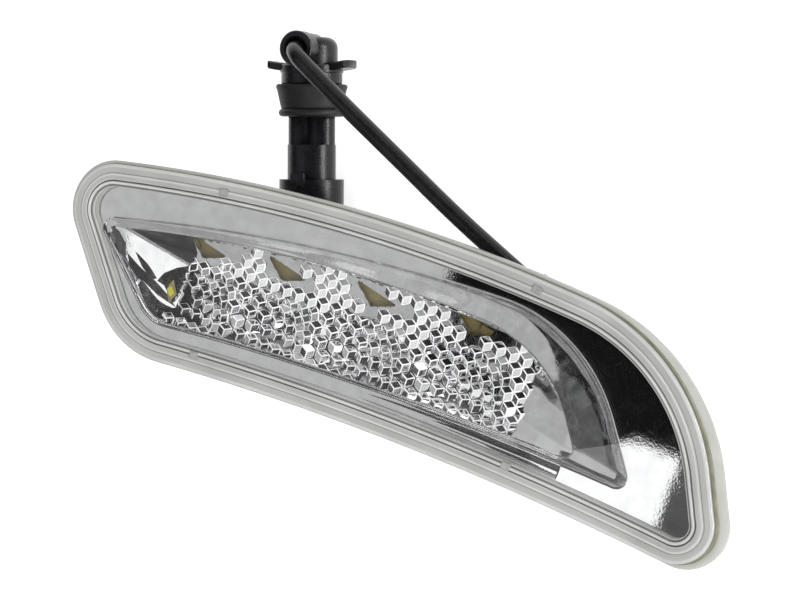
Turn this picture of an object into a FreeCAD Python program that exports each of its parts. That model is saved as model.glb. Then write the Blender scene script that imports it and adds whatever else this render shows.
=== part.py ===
"""LED marker lamp for a sun visor, with a short pigtail and a two-pole sealed plug.

The lamp lies on its back: X along the lamp, Y across it, Z out of the lens, millimetres.
The origin is the middle of the four rear screw bosses, on their faces.
"""
import FreeCAD, Part
import Sketcher
import math
import os

V = FreeCAD.Vector
doc = FreeCAD.newDocument("marker_lamp")
sheet = doc.addObject("Spreadsheet::Sheet", "sizes")

SIZES = {
    # Outline of the housing's lip: four corner circles, a bowed top edge and a hollow bottom edge
    "half_length": 134.3, "corner_tl_r": 17.6, "corner_tl_y": 6.0,
    "corner_tr_back": 1.0, "corner_tr_top": 39.0, "corner_tr_r": 70.8,
    "corner_br_r": 14.0, "corner_br_y": -20.6,
    "corner_bl_back": 49.4, "corner_bl_y": -8.0, "corner_bl_r": 33.0,
    "top_edge_r": 660.0, "bottom_edge_r": 1100.0,
    "lens_step_left": 1.5, "lens_step_right": 3.0,
    # Housing
    "boss_height": 6.0, "wall": 2.2, "floor_wall": 2.5, "lip_under": 36.0, "lip_thick": 4.0,
    "wall_inset_top": 6.0, "wall_inset_back": 11.0, "ledge_drop": 3.0, "ledge_width": 2.0,
    "boss_span_x": 140.0, "boss_span_y": 24.0, "boss_radius": 5.5, "screw_hole_radius": 2.1,
    "screw_hole_depth": 11.5, "boss_inside": 5.5,
    "vent_x": -18.0, "vent_y": -6.0, "vent_radius": 3.0, "vent_bore": 1.4, "vent_height": 3.0,
    "vent_cap_wall": 1.4, "vent_cap_roof": 1.2, "vent_cap_height": 3.6, "slip_fit": 0.1,
    "post_radius": 3.2,
    # Lens, its tongue and the sealing bead in the lip's groove
    "groove_inset": 2.4, "groove_width": 2.8, "groove_depth": 2.6, "seal_height": 0.9,
    "tongue_clear": 0.4, "lens_inset": 1.0, "lens_gap": 1.0, "lens_thick": 2.4,
    "bead_inset": 7.2, "bead_width": 1.2, "bead_height": 0.7,
    # Bezel
    "rim_inset": 6.2, "rim_clear": 0.4, "rim_thick": 2.5, "bezel_wall": 1.5, "bezel_foot": 27.0,
    "step_height": 5.5,
    "opening_bl_back": 50.3, "opening_bl_y": -11.5, "opening_bl_r": 16.0,
    "opening_bottom_r": 1100.0, "opening_top_r": 520.0,
    "crease_tl_back": 22.8, "crease_tl_y": -1.5, "crease_tl_r": 4.0,
    "crease_tr_back": 34.3, "crease_tr_top": 25.0, "crease_tr_r": 60.0,
    "crease_br_back": 55.3, "crease_br_y": -5.0, "crease_br_r": 12.0,
    "step_tl_back": 25.1, "step_tl_y": -2.3, "step_tl_r": 3.8,
    "step_tr_back": 70.3, "step_tr_top": 15.0, "step_tr_r": 24.0,
    "step_br_back": 68.3, "step_br_y": -12.5, "step_br_r": 5.0,
    "foot_tl_back": 26.8, "foot_tl_y": -3.0, "foot_tl_r": 3.5,
    "foot_tr_back": 82.3, "foot_tr_top": 15.0, "foot_tr_r": 12.0,
    "foot_br_back": 88.3, "foot_br_y": -14.0, "foot_br_r": 6.0,
    # Reflector: cube-corner facets on four hollow cells
    "facet_side": 3.0, "facet_relief": 1.3, "cell_depth": 8.0, "reflector_wall": 1.8,
    "reflector_margin": 5.0, "reflector_clear": 0.5, "shelf_clear": 1.0,
    # Light board
    "led_first_back": 51.3, "led_first_y": 2.0, "led_pitch_share": 0.2457, "led_growth_share": 0.02234,
    "led_slope": 5.66, "led_count": 4, "led_side": 4.3, "led_long": 3.5, "led_wide": 2.8,
    "led_high": 0.9, "board_end": 10.0, "board_width": 12.0, "board_thick": 1.6, "board_drop": 2.2,
    "board_screw_radius": 1.2, "screw_head_radius": 2.4, "screw_head_high": 1.5, "screw_long": 9.0,
    "chip_long": 5.0, "chip_wide": 4.0, "chip_high": 1.5, "chip_x": 14.0,
    "resistor_long": 3.2, "resistor_wide": 1.6, "resistor_high": 0.6, "resistor_pitch": 4.0,
    "resistor_x": 24.0, "resistor_count": 3,
    "capacitor_radius": 2.6, "capacitor_high": 5.0, "capacitor_x": -18.0,
    "wire_radius": 0.8, "wire_gap": 2.6, "lead_run": 10.0, "lead_drop": 9.0, "lead_inset": 3.0,
    # Cable and its gland
    "cable_diameter": 6.1, "gland_wall": 1.2, "gland_length": 8.0, "gland_head": 2.5,
    "outlet_wall": 1.5, "outlet_length": 12.0, "outlet_scoop": 4.0, "gland_start": 12.0,
    # Plug, measured along its own axis from the mouth
    "plug_x": -54.35, "plug_y": 30.25, "plug_turn": 18.3, "plug_tilt": 4.0,
    "collar_radius": 11.9, "collar_length": 9.5, "collar_floor": 0.1, "collar_proud": 1.0,
    "tab_wide": 5.0, "tab_long": 5.0, "tab_high": 1.4,
    "body_radius": 8.9, "body_length": 31.4, "lobe_length": 10.2, "lobe_radius": 5.0,
    "lobe_offset": 3.9, "stem_radius": 6.4, "terminal_wide": 2.8, "terminal_thick": 0.8,
    "terminal_long": 9.0, "terminal_gap": 7.0, "slot_clear": 0.2,
    "ring_radius": 12.1, "ring_length": 2.9, "seal_low_radius": 11.3, "seal_top_radius": 13.1,
    "cone_length": 8.9, "neck_radius": 11.2, "neck_length": 4.3, "wing_span": 32.2,
    "wing_wide": 13.0, "wing_thick": 2.8, "wing_round": 2.5, "cap_radius": 9.5, "cap_length": 10.0,
    "cap_round": 4.0, "outlet_radius": 6.4, "outlet_reach": 14.6, "outlet_bore": 4.0,
    "outlet_depth": 5.0, "outlet_place": 5.4,
}
for row, (alias, number) in enumerate(SIZES.items(), 1):
    sheet.set(f"A{row}", alias)
    sheet.set(f"B{row}", str(number))
    sheet.setAlias(f"B{row}", alias)
doc.recompute()


class Dim:
    """A size with its number and the cell formula that gives it."""

    def __init__(self, text, value):
        self.text = text
        self.value = value

    def joined(self, sign, other, value):
        return Dim(f"({self.text} {sign} {other.text})", value)

    def __add__(self, other):
        other = as_dim(other)
        return self.joined("+", other, self.value + other.value)

    def __sub__(self, other):
        other = as_dim(other)
        return self.joined("-", other, self.value - other.value)

    def __mul__(self, other):
        other = as_dim(other)
        return self.joined("*", other, self.value * other.value)

    def __neg__(self):
        return Dim(f"(0 - {self.text})", -self.value)


def as_dim(number):
    return number if isinstance(number, Dim) else Dim(str(number), float(number))


def size(alias):
    """The named size, as a number with its cell."""
    return Dim(f"sizes.{alias}", float(sheet.get(alias)))


def num(alias):
    return float(sheet.get(alias))


def bind(thing, **properties):
    """Ties properties of a feature to sizes; dots in names are written as double underscores."""
    for name, dim in properties.items():
        thing.setExpression(name.replace("__", "."), as_dim(dim).text)


def unit(vector):
    return FreeCAD.Vector(vector).normalize()


# Outlines made of four corner circles

def upper_right(name, step=0.0):
    """The large upper right circle, held by its right and top edges so that it can change its radius."""
    r = size(f"{name}_r")
    return (size("half_length") - size(f"{name}_back") - r - step, size(f"{name}_top") - r, r)


def lamp_family(left_step=0.0, right_step=0.0):
    """Corner circles (x, y, r) in the order bottom left, bottom right, top right, top left."""
    half = size("half_length")
    return dict(
        bl=(size("corner_bl_back") - half + left_step, size("corner_bl_y"), size("corner_bl_r")),
        br=(half - size("corner_br_r") - right_step, size("corner_br_y"), size("corner_br_r")),
        tr=upper_right("corner_tr", right_step),
        tl=(-(half - size("corner_tl_r")) + left_step, size("corner_tl_y"), size("corner_tl_r")),
        top=size("top_edge_r"), bottom=size("bottom_edge_r"))


def opening_family(prefix):
    """Corner circles of the bezel's opening at one level, set back from the lamp's ends.

    The lower left corner is shared.
    """
    half = size("half_length")

    def corner(name, at_left):
        back = size(f"{name}_back")
        return (back - half if at_left else half - back, size(f"{name}_y"), size(f"{name}_r"))

    return dict(
        bl=corner("opening_bl", True), br=corner(f"{prefix}_br", False),
        tr=upper_right(f"{prefix}_tr"), tl=corner(f"{prefix}_tl", True),
        top=size("opening_top_r"), bottom=size("opening_bottom_r"))


LIP = lamp_family()
LENS = lamp_family(size("lens_step_left"), size("lens_step_right"))
CREASE, STEP, FOOT = (opening_family(name) for name in ("crease", "step", "foot"))


def lower_meeting(first, first_reach, second, second_reach):
    """The lower of the two points at the given reaches from two centres."""
    gap = second - first
    along = (first_reach**2 - second_reach**2 + gap.Length**2) / (2 * gap.Length)
    across = math.sqrt(first_reach**2 - along**2)
    side = unit(V(-gap.y, gap.x, 0))
    points = [first + unit(gap) * along + side * (across * sign) for sign in (1, -1)]
    return min(points, key=lambda point: point.y)


def outer_normal(first, first_r, second, second_r):
    """Normal of the line that touches two circles when they are passed anticlockwise."""
    gap = second - first
    lean = (first_r - second_r) / gap.Length
    across = unit(V(-gap.y, gap.x, 0)) * math.sqrt(1 - lean**2)
    normals = [unit(gap) * lean + across * sign for sign in (1, -1)]

    def forward(normal):
        run = gap + normal * (second_r - first_r)
        return run.y * normal.x - run.x * normal.y

    return max(normals, key=forward)


def outline_pieces(corners, inset):
    """Arcs and lines of one closed outline, moved inwards by inset, with the sizes that set them."""
    inset = as_dim(inset)
    radius = {key: corners[key][2] - inset for key in ("bl", "br", "tr", "tl")}
    centre = {key: V(corners[key][0].value, corners[key][1].value, 0) for key in radius}
    reach = {key: dim.value for key, dim in radius.items()}
    top_r, bottom_r = corners["top"] - inset, corners["bottom"] + inset
    top = lower_meeting(centre["tl"], top_r.value - reach["tl"], centre["tr"], top_r.value - reach["tr"])
    low = lower_meeting(centre["bl"], bottom_r.value + reach["bl"],
                        centre["br"], bottom_r.value + reach["br"])
    left = outer_normal(centre["tl"], reach["tl"], centre["bl"], reach["bl"])
    right = outer_normal(centre["br"], reach["br"], centre["tr"], reach["tr"])
    at_low = {key: unit(low - centre[key]) for key in ("bl", "br")}
    at_top = {key: unit(centre[key] - top) for key in ("tl", "tr")}

    def arc(middle, r, start, end):
        angles = [math.atan2(way.y, way.x) for way in (start, end)]
        if angles[1] < angles[0]:
            angles[1] += 2 * math.pi
        return Part.ArcOfCircle(Part.Circle(middle, V(0, 0, 1), r), *angles)

    def line(first, second, normal):
        ends = [centre[key] + normal * reach[key] for key in (first, second)]
        return Part.LineSegment(*ends)

    return [
        (arc(low, bottom_r.value, -at_low["br"], -at_low["bl"]), bottom_r, None),
        (arc(centre["br"], reach["br"], at_low["br"], right), radius["br"], corners["br"]),
        (line("br", "tr", right), None, None),
        (arc(centre["tr"], reach["tr"], right, at_top["tr"]), radius["tr"], corners["tr"]),
        (arc(top, top_r.value, at_top["tr"], at_top["tl"]), top_r, None),
        (arc(centre["tl"], reach["tl"], at_top["tl"], left), radius["tl"], corners["tl"]),
        (line("tl", "bl", left), None, None),
        (arc(centre["bl"], reach["bl"], left, at_low["bl"]), radius["bl"], corners["bl"]),
    ]


def outline_face(corners, inset):
    edges = [geometry.toShape() for geometry, _, _ in outline_pieces(corners, inset)]
    return Part.Face(Part.Wire(Part.sortEdges(edges)[0]))


def add_outline(sketch, corners, inset):
    """Adds one closed outline to a sketch, with every circle tied to the sheet."""
    pieces = outline_pieces(corners, inset)
    base = sketch.GeometryCount
    for geometry, _, _ in pieces:
        sketch.addGeometry(geometry, False)
    joints = [(0, 1, 1, 1), (1, 2, 2, 1), (2, 2, 3, 1), (3, 2, 4, 1),
              (4, 2, 5, 1), (5, 2, 6, 1), (6, 2, 7, 1), (7, 2, 0, 2)]
    for one, one_end, other, other_end in joints:
        sketch.addConstraint(Sketcher.Constraint("Tangent", base + one, one_end, base + other, other_end))
    for index, (_, dim, corner) in enumerate(pieces):
        if dim is not None:
            tie(sketch, Sketcher.Constraint("Radius", base + index, dim.value), dim)
        if corner is not None:
            tie(sketch, Sketcher.Constraint("DistanceX", -1, 1, base + index, 3, corner[0].value), corner[0])
            tie(sketch, Sketcher.Constraint("DistanceY", -1, 1, base + index, 3, corner[1].value), corner[1])


def tie(sketch, constraint, dim):
    """Adds a dimension to a sketch and ties it to the sheet."""
    number = sketch.addConstraint(constraint)
    sketch.setExpression(f"Constraints[{number}]", dim.text)


# Feature helpers

def new_body(name):
    body = doc.addObject("PartDesign::Body", name)
    body.Label = name
    return body


def plane_of(body, role):
    return next(plane for plane in body.Origin.OriginFeatures if plane.Role == role)


def level_sketch(body, name, height):
    """A sketch parallel to the floor at the given height."""
    sketch = body.newObject("Sketcher::SketchObject", name)
    sketch.AttachmentSupport = (plane_of(body, "XY_Plane"), [""])
    sketch.MapMode = "FlatFace"
    bind(sketch, AttachmentOffset__Base__z=height)
    return sketch


def outline_sketch(body, name, height, *loops):
    sketch = level_sketch(body, name, height)
    for corners, inset in loops:
        add_outline(sketch, corners, inset)
    return sketch


def pad(body, name, sketch, length, kind="PartDesign::Pad", reverse=False):
    feature = body.newObject(kind, name)
    feature.Profile = sketch
    feature.Reversed = reverse
    bind(feature, Length=length)
    return feature


def loft(body, name, kind, sketches):
    feature = body.newObject(kind, name)
    feature.Profile = sketches[0]
    feature.Sections = sketches[1:]
    feature.Ruled = True
    return feature


def circles_sketch(body, name, height, places, radius):
    """Equal circles at (x, y) places."""
    sketch = level_sketch(body, name, height)
    for number, (x, y) in enumerate(places):
        middle = V(x.value, y.value, 0)
        sketch.addGeometry(Part.Circle(middle, V(0, 0, 1), as_dim(radius).value), False)
        tie(sketch, Sketcher.Constraint("Radius", number, as_dim(radius).value), as_dim(radius))
        tie(sketch, Sketcher.Constraint("DistanceX", -1, 1, number, 3, x.value), x)
        tie(sketch, Sketcher.Constraint("DistanceY", -1, 1, number, 3, y.value), y)
    return sketch


def rod(name, radius, height, placement=None):
    cylinder = doc.addObject("Part::Cylinder", name)
    bind(cylinder, Radius=radius, Height=height)
    if placement is not None:
        cylinder.Placement = placement
    return cylinder


def block(name, length, width, height, placement=None):
    box = doc.addObject("Part::Box", name)
    bind(box, Length=length, Width=width, Height=height)
    if placement is not None:
        box.Placement = placement
    return box


def fused(name, *pieces):
    whole = doc.addObject("Part::MultiFuse", name)
    whole.Shapes = list(pieces)
    whole.Refine = True
    return whole


def cut(name, base, tool):
    rest = doc.addObject("Part::Cut", name)
    rest.Base, rest.Tool = base, tool
    return rest


def group(name, pieces):
    """Separate equal solids kept together under one name."""
    together = doc.addObject("Part::Compound", name)
    together.Links = pieces
    together.Label = name
    return together


def upright(start):
    """A placement at a point with the Z axis up."""
    return FreeCAD.Placement(start, FreeCAD.Rotation())


def along(start, way, shift=0.0):
    """A placement whose Z axis runs along a direction, shifted on it."""
    return FreeCAD.Placement(start + unit(way) * shift, FreeCAD.Rotation(V(0, 0, 1), way))


# Levels, from the boss faces up to the lens

BACK = size("boss_height")
CAVITY = BACK + size("floor_wall")
LIP_TOP = size("lip_under") + size("lip_thick")
LEDGE = LIP_TOP - size("ledge_drop")
LENS_UNDER = LIP_TOP + size("lens_gap")
LENS_TOP = LENS_UNDER + size("lens_thick")
GROOVE = LIP_TOP - size("groove_depth")
RIM_TOP = LEDGE + size("rim_thick")
SHELF_UNDER = size("bezel_foot") - size("reflector_wall")
BOARD_TOP = SHELF_UNDER - size("board_drop")
BOARD_UNDER = BOARD_TOP - size("board_thick")

# Places of the lights on the board, and the board's own frame

slope = math.radians(num("led_slope"))
BOARD_WAY = V(math.cos(slope), math.sin(slope), 0)
BOARD_SIDE = V(-BOARD_WAY.y, BOARD_WAY.x, 0)
LED_PITCH = num("half_length") * num("led_pitch_share")
LED_GROWTH = num("half_length") * num("led_growth_share")
led_steps = [0.0]
for index in range(int(num("led_count")) - 1):
    led_steps.append(led_steps[-1] + LED_PITCH + index * LED_GROWTH)
FIRST_LED = V(num("led_first_back") - num("half_length"), num("led_first_y"), 0)
LED_PLACES = [FIRST_LED + BOARD_WAY * step for step in led_steps]
BOARD_LENGTH = led_steps[-1] + 2 * num("board_end")
BOARD_SCREWS = [FIRST_LED + BOARD_WAY * (step + way * num("board_end") / 2)
                for step, way in ((led_steps[0], -1), (led_steps[-1], 1))]
BOARD_TURN = FreeCAD.Rotation(V(0, 0, 1), num("led_slope"))


def on_board(step, side, height):
    """A point of the board's frame: steps along it from the first light, sideways and up."""
    return FIRST_LED + BOARD_WAY * step + BOARD_SIDE * side + V(0, 0, height)


# Cable route, from the plug's outlet over to the gland in the housing's wall

ROUTE = [V(-71.9, 83.3, 25.6), V(-71.9, 83.2, 26.9), V(-71.8, 83.0, 30.1), V(-70.7, 82.3, 33.0),
         V(-68.6, 81.3, 35.1), V(-66.0, 80.0, 36.3), V(-63.1, 78.7, 36.3), V(-46.0, 70.9, 36.2),
         V(-20.1, 59.3, 33.2), V(6.0, 47.3, 29.8), V(26.5, 38.9, 26.4), V(45.0, 31.5, 23.4)]
GLAND_WAY = unit(ROUTE[-1] - ROUTE[-2])
GLAND = ROUTE[-2] + GLAND_WAY * num("gland_start")
CABLE_R = size("cable_diameter") * 0.5
GLAND_R = CABLE_R + size("gland_wall")


# Rear housing: a drafted tray with a grooved lip, screw bosses, posts and the cable outlet

housing = new_body("housing")
lip = outline_sketch(housing, "lip_outline", size("lip_under"), (LIP, 0))
pad(housing, "lip", lip, size("lip_thick"))
tray_top = outline_sketch(housing, "tray_top", size("lip_under"), (LENS, size("wall_inset_top")))
tray_back = outline_sketch(housing, "tray_back", BACK, (LENS, size("wall_inset_back")))
loft(housing, "tray", "PartDesign::AdditiveLoft", [tray_back, tray_top])
hollow_low = outline_sketch(housing, "hollow_low", CAVITY, (LENS, size("wall_inset_back") + size("wall")))
hollow_top = outline_sketch(housing, "hollow_top", LEDGE, (LENS, size("rim_inset") + size("ledge_width")))
loft(housing, "hollow", "PartDesign::SubtractiveLoft", [hollow_low, hollow_top])
seat = outline_sketch(housing, "bezel_seat", LIP_TOP, (LENS, size("rim_inset")))
pad(housing, "bezel_pocket", seat, size("ledge_drop"), "PartDesign::Pocket")
groove = outline_sketch(housing, "groove_outline", LIP_TOP, (LENS, size("groove_inset")),
                        (LENS, size("groove_inset") + size("groove_width")))
pad(housing, "groove", groove, size("groove_depth"), "PartDesign::Pocket")

half_x, half_y = size("boss_span_x") * 0.5, size("boss_span_y") * 0.5
boss_places = [(half_x * way_x, half_y * way_y) for way_x in (-1, 1) for way_y in (-1, 1)]
bosses = circles_sketch(housing, "boss_circles", 0, boss_places, size("boss_radius"))
pad(housing, "bosses", bosses, CAVITY + size("boss_inside"))
holes = circles_sketch(housing, "screw_circles", 0, boss_places, size("screw_hole_radius"))
pad(housing, "screw_holes", holes, size("screw_hole_depth"), "PartDesign::Pocket", reverse=True)
vent_place = [(size("vent_x"), size("vent_y"))]
vent = circles_sketch(housing, "vent_circle", BACK - size("vent_height"), vent_place, size("vent_radius"))
pad(housing, "vent_nozzle", vent, size("vent_height"))
vent_hole = circles_sketch(housing, "vent_hole_circle", BACK - size("vent_height"), vent_place,
                           size("vent_bore"))
pad(housing, "vent_hole", vent_hole, size("vent_height") + size("floor_wall"), "PartDesign::Pocket",
    reverse=True)
screw_places = [(as_dim(place.x), as_dim(place.y)) for place in BOARD_SCREWS]
posts = circles_sketch(housing, "post_circles", BACK, screw_places, size("post_radius"))
pad(housing, "board_posts", posts, BOARD_UNDER - BACK)
post_holes = circles_sketch(housing, "post_hole_circles", BOARD_UNDER, screw_places,
                            size("board_screw_radius") + size("slip_fit") * 0.5)
pad(housing, "post_holes", post_holes, size("screw_long"), "PartDesign::Pocket")
outlet = housing.newObject("PartDesign::AdditiveCylinder", "cable_outlet")
bind(outlet, Radius=GLAND_R + size("outlet_wall"), Height=size("outlet_length"))
outlet.Placement = along(GLAND, GLAND_WAY, num("gland_head"))
outlet_bore = housing.newObject("PartDesign::SubtractiveCylinder", "cable_outlet_bore")
bind(outlet_bore, Radius=GLAND_R + size("slip_fit") * 0.5,
     Height=size("outlet_length") + size("gland_head") + size("outlet_scoop"))
outlet_bore.Placement = along(GLAND, GLAND_WAY, -num("outlet_scoop"))


# Sealing bead in the groove, and the clear lens whose tongue stands on it

lens_seal = new_body("lens_seal")
bead = outline_sketch(lens_seal, "bead_outline", GROOVE, (LENS, size("groove_inset")),
                      (LENS, size("groove_inset") + size("groove_width")))
pad(lens_seal, "bead", bead, size("seal_height"))

lens = new_body("lens")
plate = outline_sketch(lens, "plate_outline", LENS_UNDER, (LENS, size("lens_inset")))
pad(lens, "plate", plate, size("lens_thick"))
tongue_foot = GROOVE + size("seal_height")
tongue_in = size("groove_inset") + size("groove_width") - size("tongue_clear")
tongue = outline_sketch(lens, "tongue_outline", tongue_foot,
                        (LENS, size("groove_inset") + size("tongue_clear")), (LENS, tongue_in))
pad(lens, "tongue", tongue, LENS_UNDER - tongue_foot)
frame = outline_sketch(lens, "frame_outline", LENS_TOP, (LENS, size("bead_inset")),
                       (LENS, size("bead_inset") + size("bead_width")))
pad(lens, "frame_bead", frame, size("bead_height"))


# Chrome bezel: a flat rim on the ledge and a stepped funnel down to the reflector

bezel = new_body("bezel")
rim = outline_sketch(bezel, "rim_outline", LEDGE, (LENS, size("rim_inset") + size("rim_clear")))
pad(bezel, "rim", rim, size("rim_thick"))
STEP_LEVEL = size("bezel_foot") + size("step_height")
levels = [("foot", size("bezel_foot"), FOOT), ("step", STEP_LEVEL, STEP), ("crease", RIM_TOP, CREASE)]
skins = [outline_sketch(bezel, f"{name}_outside", height, (corners, -size("bezel_wall")))
         for name, height, corners in levels]
loft(bezel, "funnel", "PartDesign::AdditiveLoft", skins)
mouths = [outline_sketch(bezel, f"{name}_inside", height, (corners, 0)) for name, height, corners in levels]
loft(bezel, "funnel_hollow", "PartDesign::SubtractiveLoft", mouths)
doc.recompute()


# Reflector: a sheet of cube-corner facets on four hollow cells, with a window over each light

opening = [point for edge in Part.sortEdges(mouths[0].Shape.Edges)[0] for point in edge.discretize(40)]
EDGE_LIFT = num("bezel_foot")
CELL_EDGES = [LED_PLACES[0].x - LED_PITCH / 2]
for first, second in zip(LED_PLACES, LED_PLACES[1:]):
    CELL_EDGES.append((first.x + second.x) / 2)
CELL_EDGES.append(2 * LED_PLACES[-1].x - CELL_EDGES[-1])


def span(x):
    """Lowest and highest y of the opening at one x, or None beside it."""
    found = []
    for start, end in zip(opening, opening[1:] + opening[:1]):
        if min(start.x, end.x) <= x <= max(start.x, end.x) and start.x != end.x:
            found.append(start.y + (end.y - start.y) * (x - start.x) / (end.x - start.x))
    return (min(found), max(found)) if found else None


def shelf_line(x):
    """Upper edge of the cells: clear of the light board below the shelf."""
    return FIRST_LED.y + (x - FIRST_LED.x) * math.tan(slope) - num("board_width") / 2 - num("shelf_clear")


def hollow(x, y):
    """How deep the cells lie below the shelf at a point, from 0 to 1."""
    across = span(x)
    if across is None:
        return 0.0
    low, high = across[0], min(across[1], shelf_line(x))
    for left, right in zip(CELL_EDGES, CELL_EDGES[1:]):
        if left < x < right and low < y < high:
            u = (2 * x - left - right) / (right - left)
            v = (2 * y - low - high) / (high - low)
            return (1 - u * u) * (1 - v * v)
    return 0.0


def facet_point(x, y, lift):
    depth = hollow(x, y)
    relief = num("facet_relief") * lift * min(1.0, 4 * depth)
    return V(x, y, EDGE_LIFT - num("cell_depth") * depth + min(relief, num("cell_depth") * depth))


side_long = num("facet_side")
hex_wide, row_high = side_long * math.sqrt(3), side_long * 1.5
low_y, high_y = min(p.y for p in opening), max(p.y for p in opening)
margin = num("reflector_margin")
left_x, right_x = min(p.x for p in opening), max(p.x for p in opening)
rise = (SHELF_UNDER.value - CAVITY.value) / (LEDGE.value - CAVITY.value)
low_inset, top_inset = num("wall_inset_back") + num("wall"), num("rim_inset") + num("ledge_width")
cavity_inset = low_inset + (top_inset - low_inset) * rise + num("reflector_clear")
cavity_block = outline_face(LENS, cavity_inset).extrude(V(0, 0, 1))
opening_face = outline_face(FOOT, 0)


def hexagon(middle, lift=0.0):
    """Corners of a facet group about its middle, clockwise from the top."""
    turns = (math.radians(60 * step) for step in range(6))
    return [middle + V(math.sin(turn) * side_long, math.cos(turn) * side_long, lift) for turn in turns]


def steps_over(low, high, pitch):
    """Whole steps of a pitch that cover a range and its margin."""
    return range(math.floor((low - margin) / pitch), math.ceil((high + margin) / pitch) + 1)


hexes = {}
for row in steps_over(low_y, high_y, row_high):
    offset = 0.5 if row % 2 else 0.0
    for column in steps_over(left_x, right_x, hex_wide):
        middle = V((column + offset) * hex_wide, row * row_high, 0)
        if Part.Vertex(middle).distToShape(opening_face)[0] > margin:
            continue
        if all(cavity_block.isInside(corner, 0.001, True) for corner in hexagon(middle, 0.5)):
            hexes[row, column] = middle
for place in LED_PLACES:
    nearest = sorted(hexes, key=lambda cell: hexes[cell].distanceToPoint(place))[0]
    for window in (nearest, (nearest[0], nearest[1] + 1)):
        hexes.pop(window, None)

facets = []
borders = {}
for middle in hexes.values():
    peak = facet_point(middle.x, middle.y, 1)
    points = [facet_point(p.x, p.y, -((step + 1) % 2)) for step, p in enumerate(hexagon(middle))]
    for step in range(1, 6, 2):
        corner, outer, after = points[step], points[(step + 1) % 6], points[(step + 2) % 6]
        facets += [(peak, outer, corner), (peak, after, outer)]
    for step in range(6):
        ends = (points[(step + 1) % 6], points[step])
        key = frozenset((round(p.x, 3), round(p.y, 3)) for p in ends)
        borders[key] = None if key in borders else ends
down = V(0, 0, -num("reflector_wall"))
triangles = facets + [(a + down, c + down, b + down) for a, b, c in facets]
for ends in filter(None, borders.values()):
    start, end = ends
    triangles += [(start, end, end + down), (start, end + down, start + down)]
faces = [Part.Face(Part.makePolygon([a, b, c, a])) for a, b, c in triangles]
sheet_shell = Part.makeShell(faces)
sheet_shell.sewShape()
reflector = doc.addObject("Part::Feature", "reflector")
reflector.Label = "reflector"
reflector.Shape = Part.makeSolid(sheet_shell)
reflector.Placement = FreeCAD.Placement()


# Light board with its lights, driver parts and screws

board_middle = (led_steps[0] + led_steps[-1]) / 2
board_corner = on_board(board_middle - BOARD_LENGTH / 2, -num("board_width") / 2, BOARD_UNDER.value)
board_plate = block("board_plate", BOARD_LENGTH, size("board_width"), size("board_thick"),
                    FreeCAD.Placement(board_corner, BOARD_TURN))
board_holes = []
for number, place in enumerate(BOARD_SCREWS, 1):
    at = FreeCAD.Placement(V(place.x, place.y, BOARD_UNDER.value), FreeCAD.Rotation())
    radius = size("board_screw_radius") + size("slip_fit")
    board_holes.append(rod(f"board_hole_{number}", radius, size("board_thick"), at))
led_board = cut("led_board", board_plate, fused("board_holes", *board_holes))
led_board.Label = "led_board"


def board_block(name, step, side, base, length, width, height):
    corner = on_board(step - length.value / 2, side - width.value / 2, base)
    return block(name, length, width, height, FreeCAD.Placement(corner, BOARD_TURN))


leds = group("leds", [
    board_block(f"led_{number}", step, num("led_side"), BOARD_TOP.value,
                size("led_long"), size("led_wide"), size("led_high"))
    for number, step in enumerate(led_steps, 1)])
chip_base = BOARD_UNDER.value - num("chip_high")
driver_chip = board_block("driver_chip", board_middle + num("chip_x"), 0, chip_base,
                          size("chip_long"), size("chip_wide"), size("chip_high"))
resistor_base = BOARD_UNDER.value - num("resistor_high")
resistors = group("resistors", [
    board_block(f"resistor_{number}", board_middle + num("resistor_x") + number * num("resistor_pitch"), 0,
                resistor_base, size("resistor_wide"), size("resistor_long"), size("resistor_high"))
    for number in range(int(num("resistor_count")))])
can_foot = on_board(board_middle + num("capacitor_x"), 0, BOARD_UNDER.value - num("capacitor_high"))
capacitor = rod("capacitor", size("capacitor_radius"), size("capacitor_high"),
                FreeCAD.Placement(can_foot, FreeCAD.Rotation()))
screws = []
for number, place in enumerate(BOARD_SCREWS, 1):
    seat_at = V(place.x, place.y, BOARD_TOP.value)
    tip_at = seat_at - V(0, 0, num("screw_long"))
    head = rod(f"screw_head_{number}", size("screw_head_radius"), size("screw_head_high"), upright(seat_at))
    shank = rod(f"screw_shank_{number}", size("board_screw_radius"), size("screw_long"), upright(tip_at))
    screws.append(fused(f"board_screw_{number}", head, shank))
board_screws = group("board_screws", screws)


# Breather cap on the vent nozzle

cap_radius = size("vent_radius") + size("slip_fit") + size("vent_cap_wall")
cap_top = num("boss_height") - num("vent_height") - num("vent_cap_roof")
cap_foot = V(num("vent_x"), num("vent_y"), cap_top)
cap_outside = rod("vent_cap_outside", cap_radius, size("vent_cap_height"), upright(cap_foot))
cap_inside = rod("vent_cap_inside", size("vent_radius") + size("slip_fit") * 0.5, size("vent_cap_height"),
                 upright(cap_foot + V(0, 0, num("vent_cap_roof"))))
vent_cap = cut("vent_cap", cap_outside, cap_inside)
vent_cap.Label = "vent_cap"


# Cable, its gland and the two leads from its end to the board

def tube_path(points):
    """Straight runs joined by tangent arcs that take 0.45 of the shorter run; prints the radii."""
    edges, start, radii = [], points[0], []
    for before, corner, after in zip(points, points[1:], points[2:]):
        arriving, leaving = unit(corner - before), unit(after - corner)
        turn = arriving.getAngle(leaving)
        reach = 0.45 * min((corner - before).Length, (after - corner).Length)
        radii.append(reach / math.tan(turn / 2))
        entry, leave = corner - arriving * reach, corner + leaving * reach
        inward = unit(leaving - arriving)
        middle = corner + inward * (radii[-1] / math.cos(turn / 2) - radii[-1])
        edges += [Part.LineSegment(start, entry).toShape(), Part.Arc(entry, middle, leave).toShape()]
        start = leave
    edges.append(Part.LineSegment(start, points[-1]).toShape())
    print("bend radii, mm:", [round(r, 1) for r in radii])
    return Part.Wire(edges)


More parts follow.
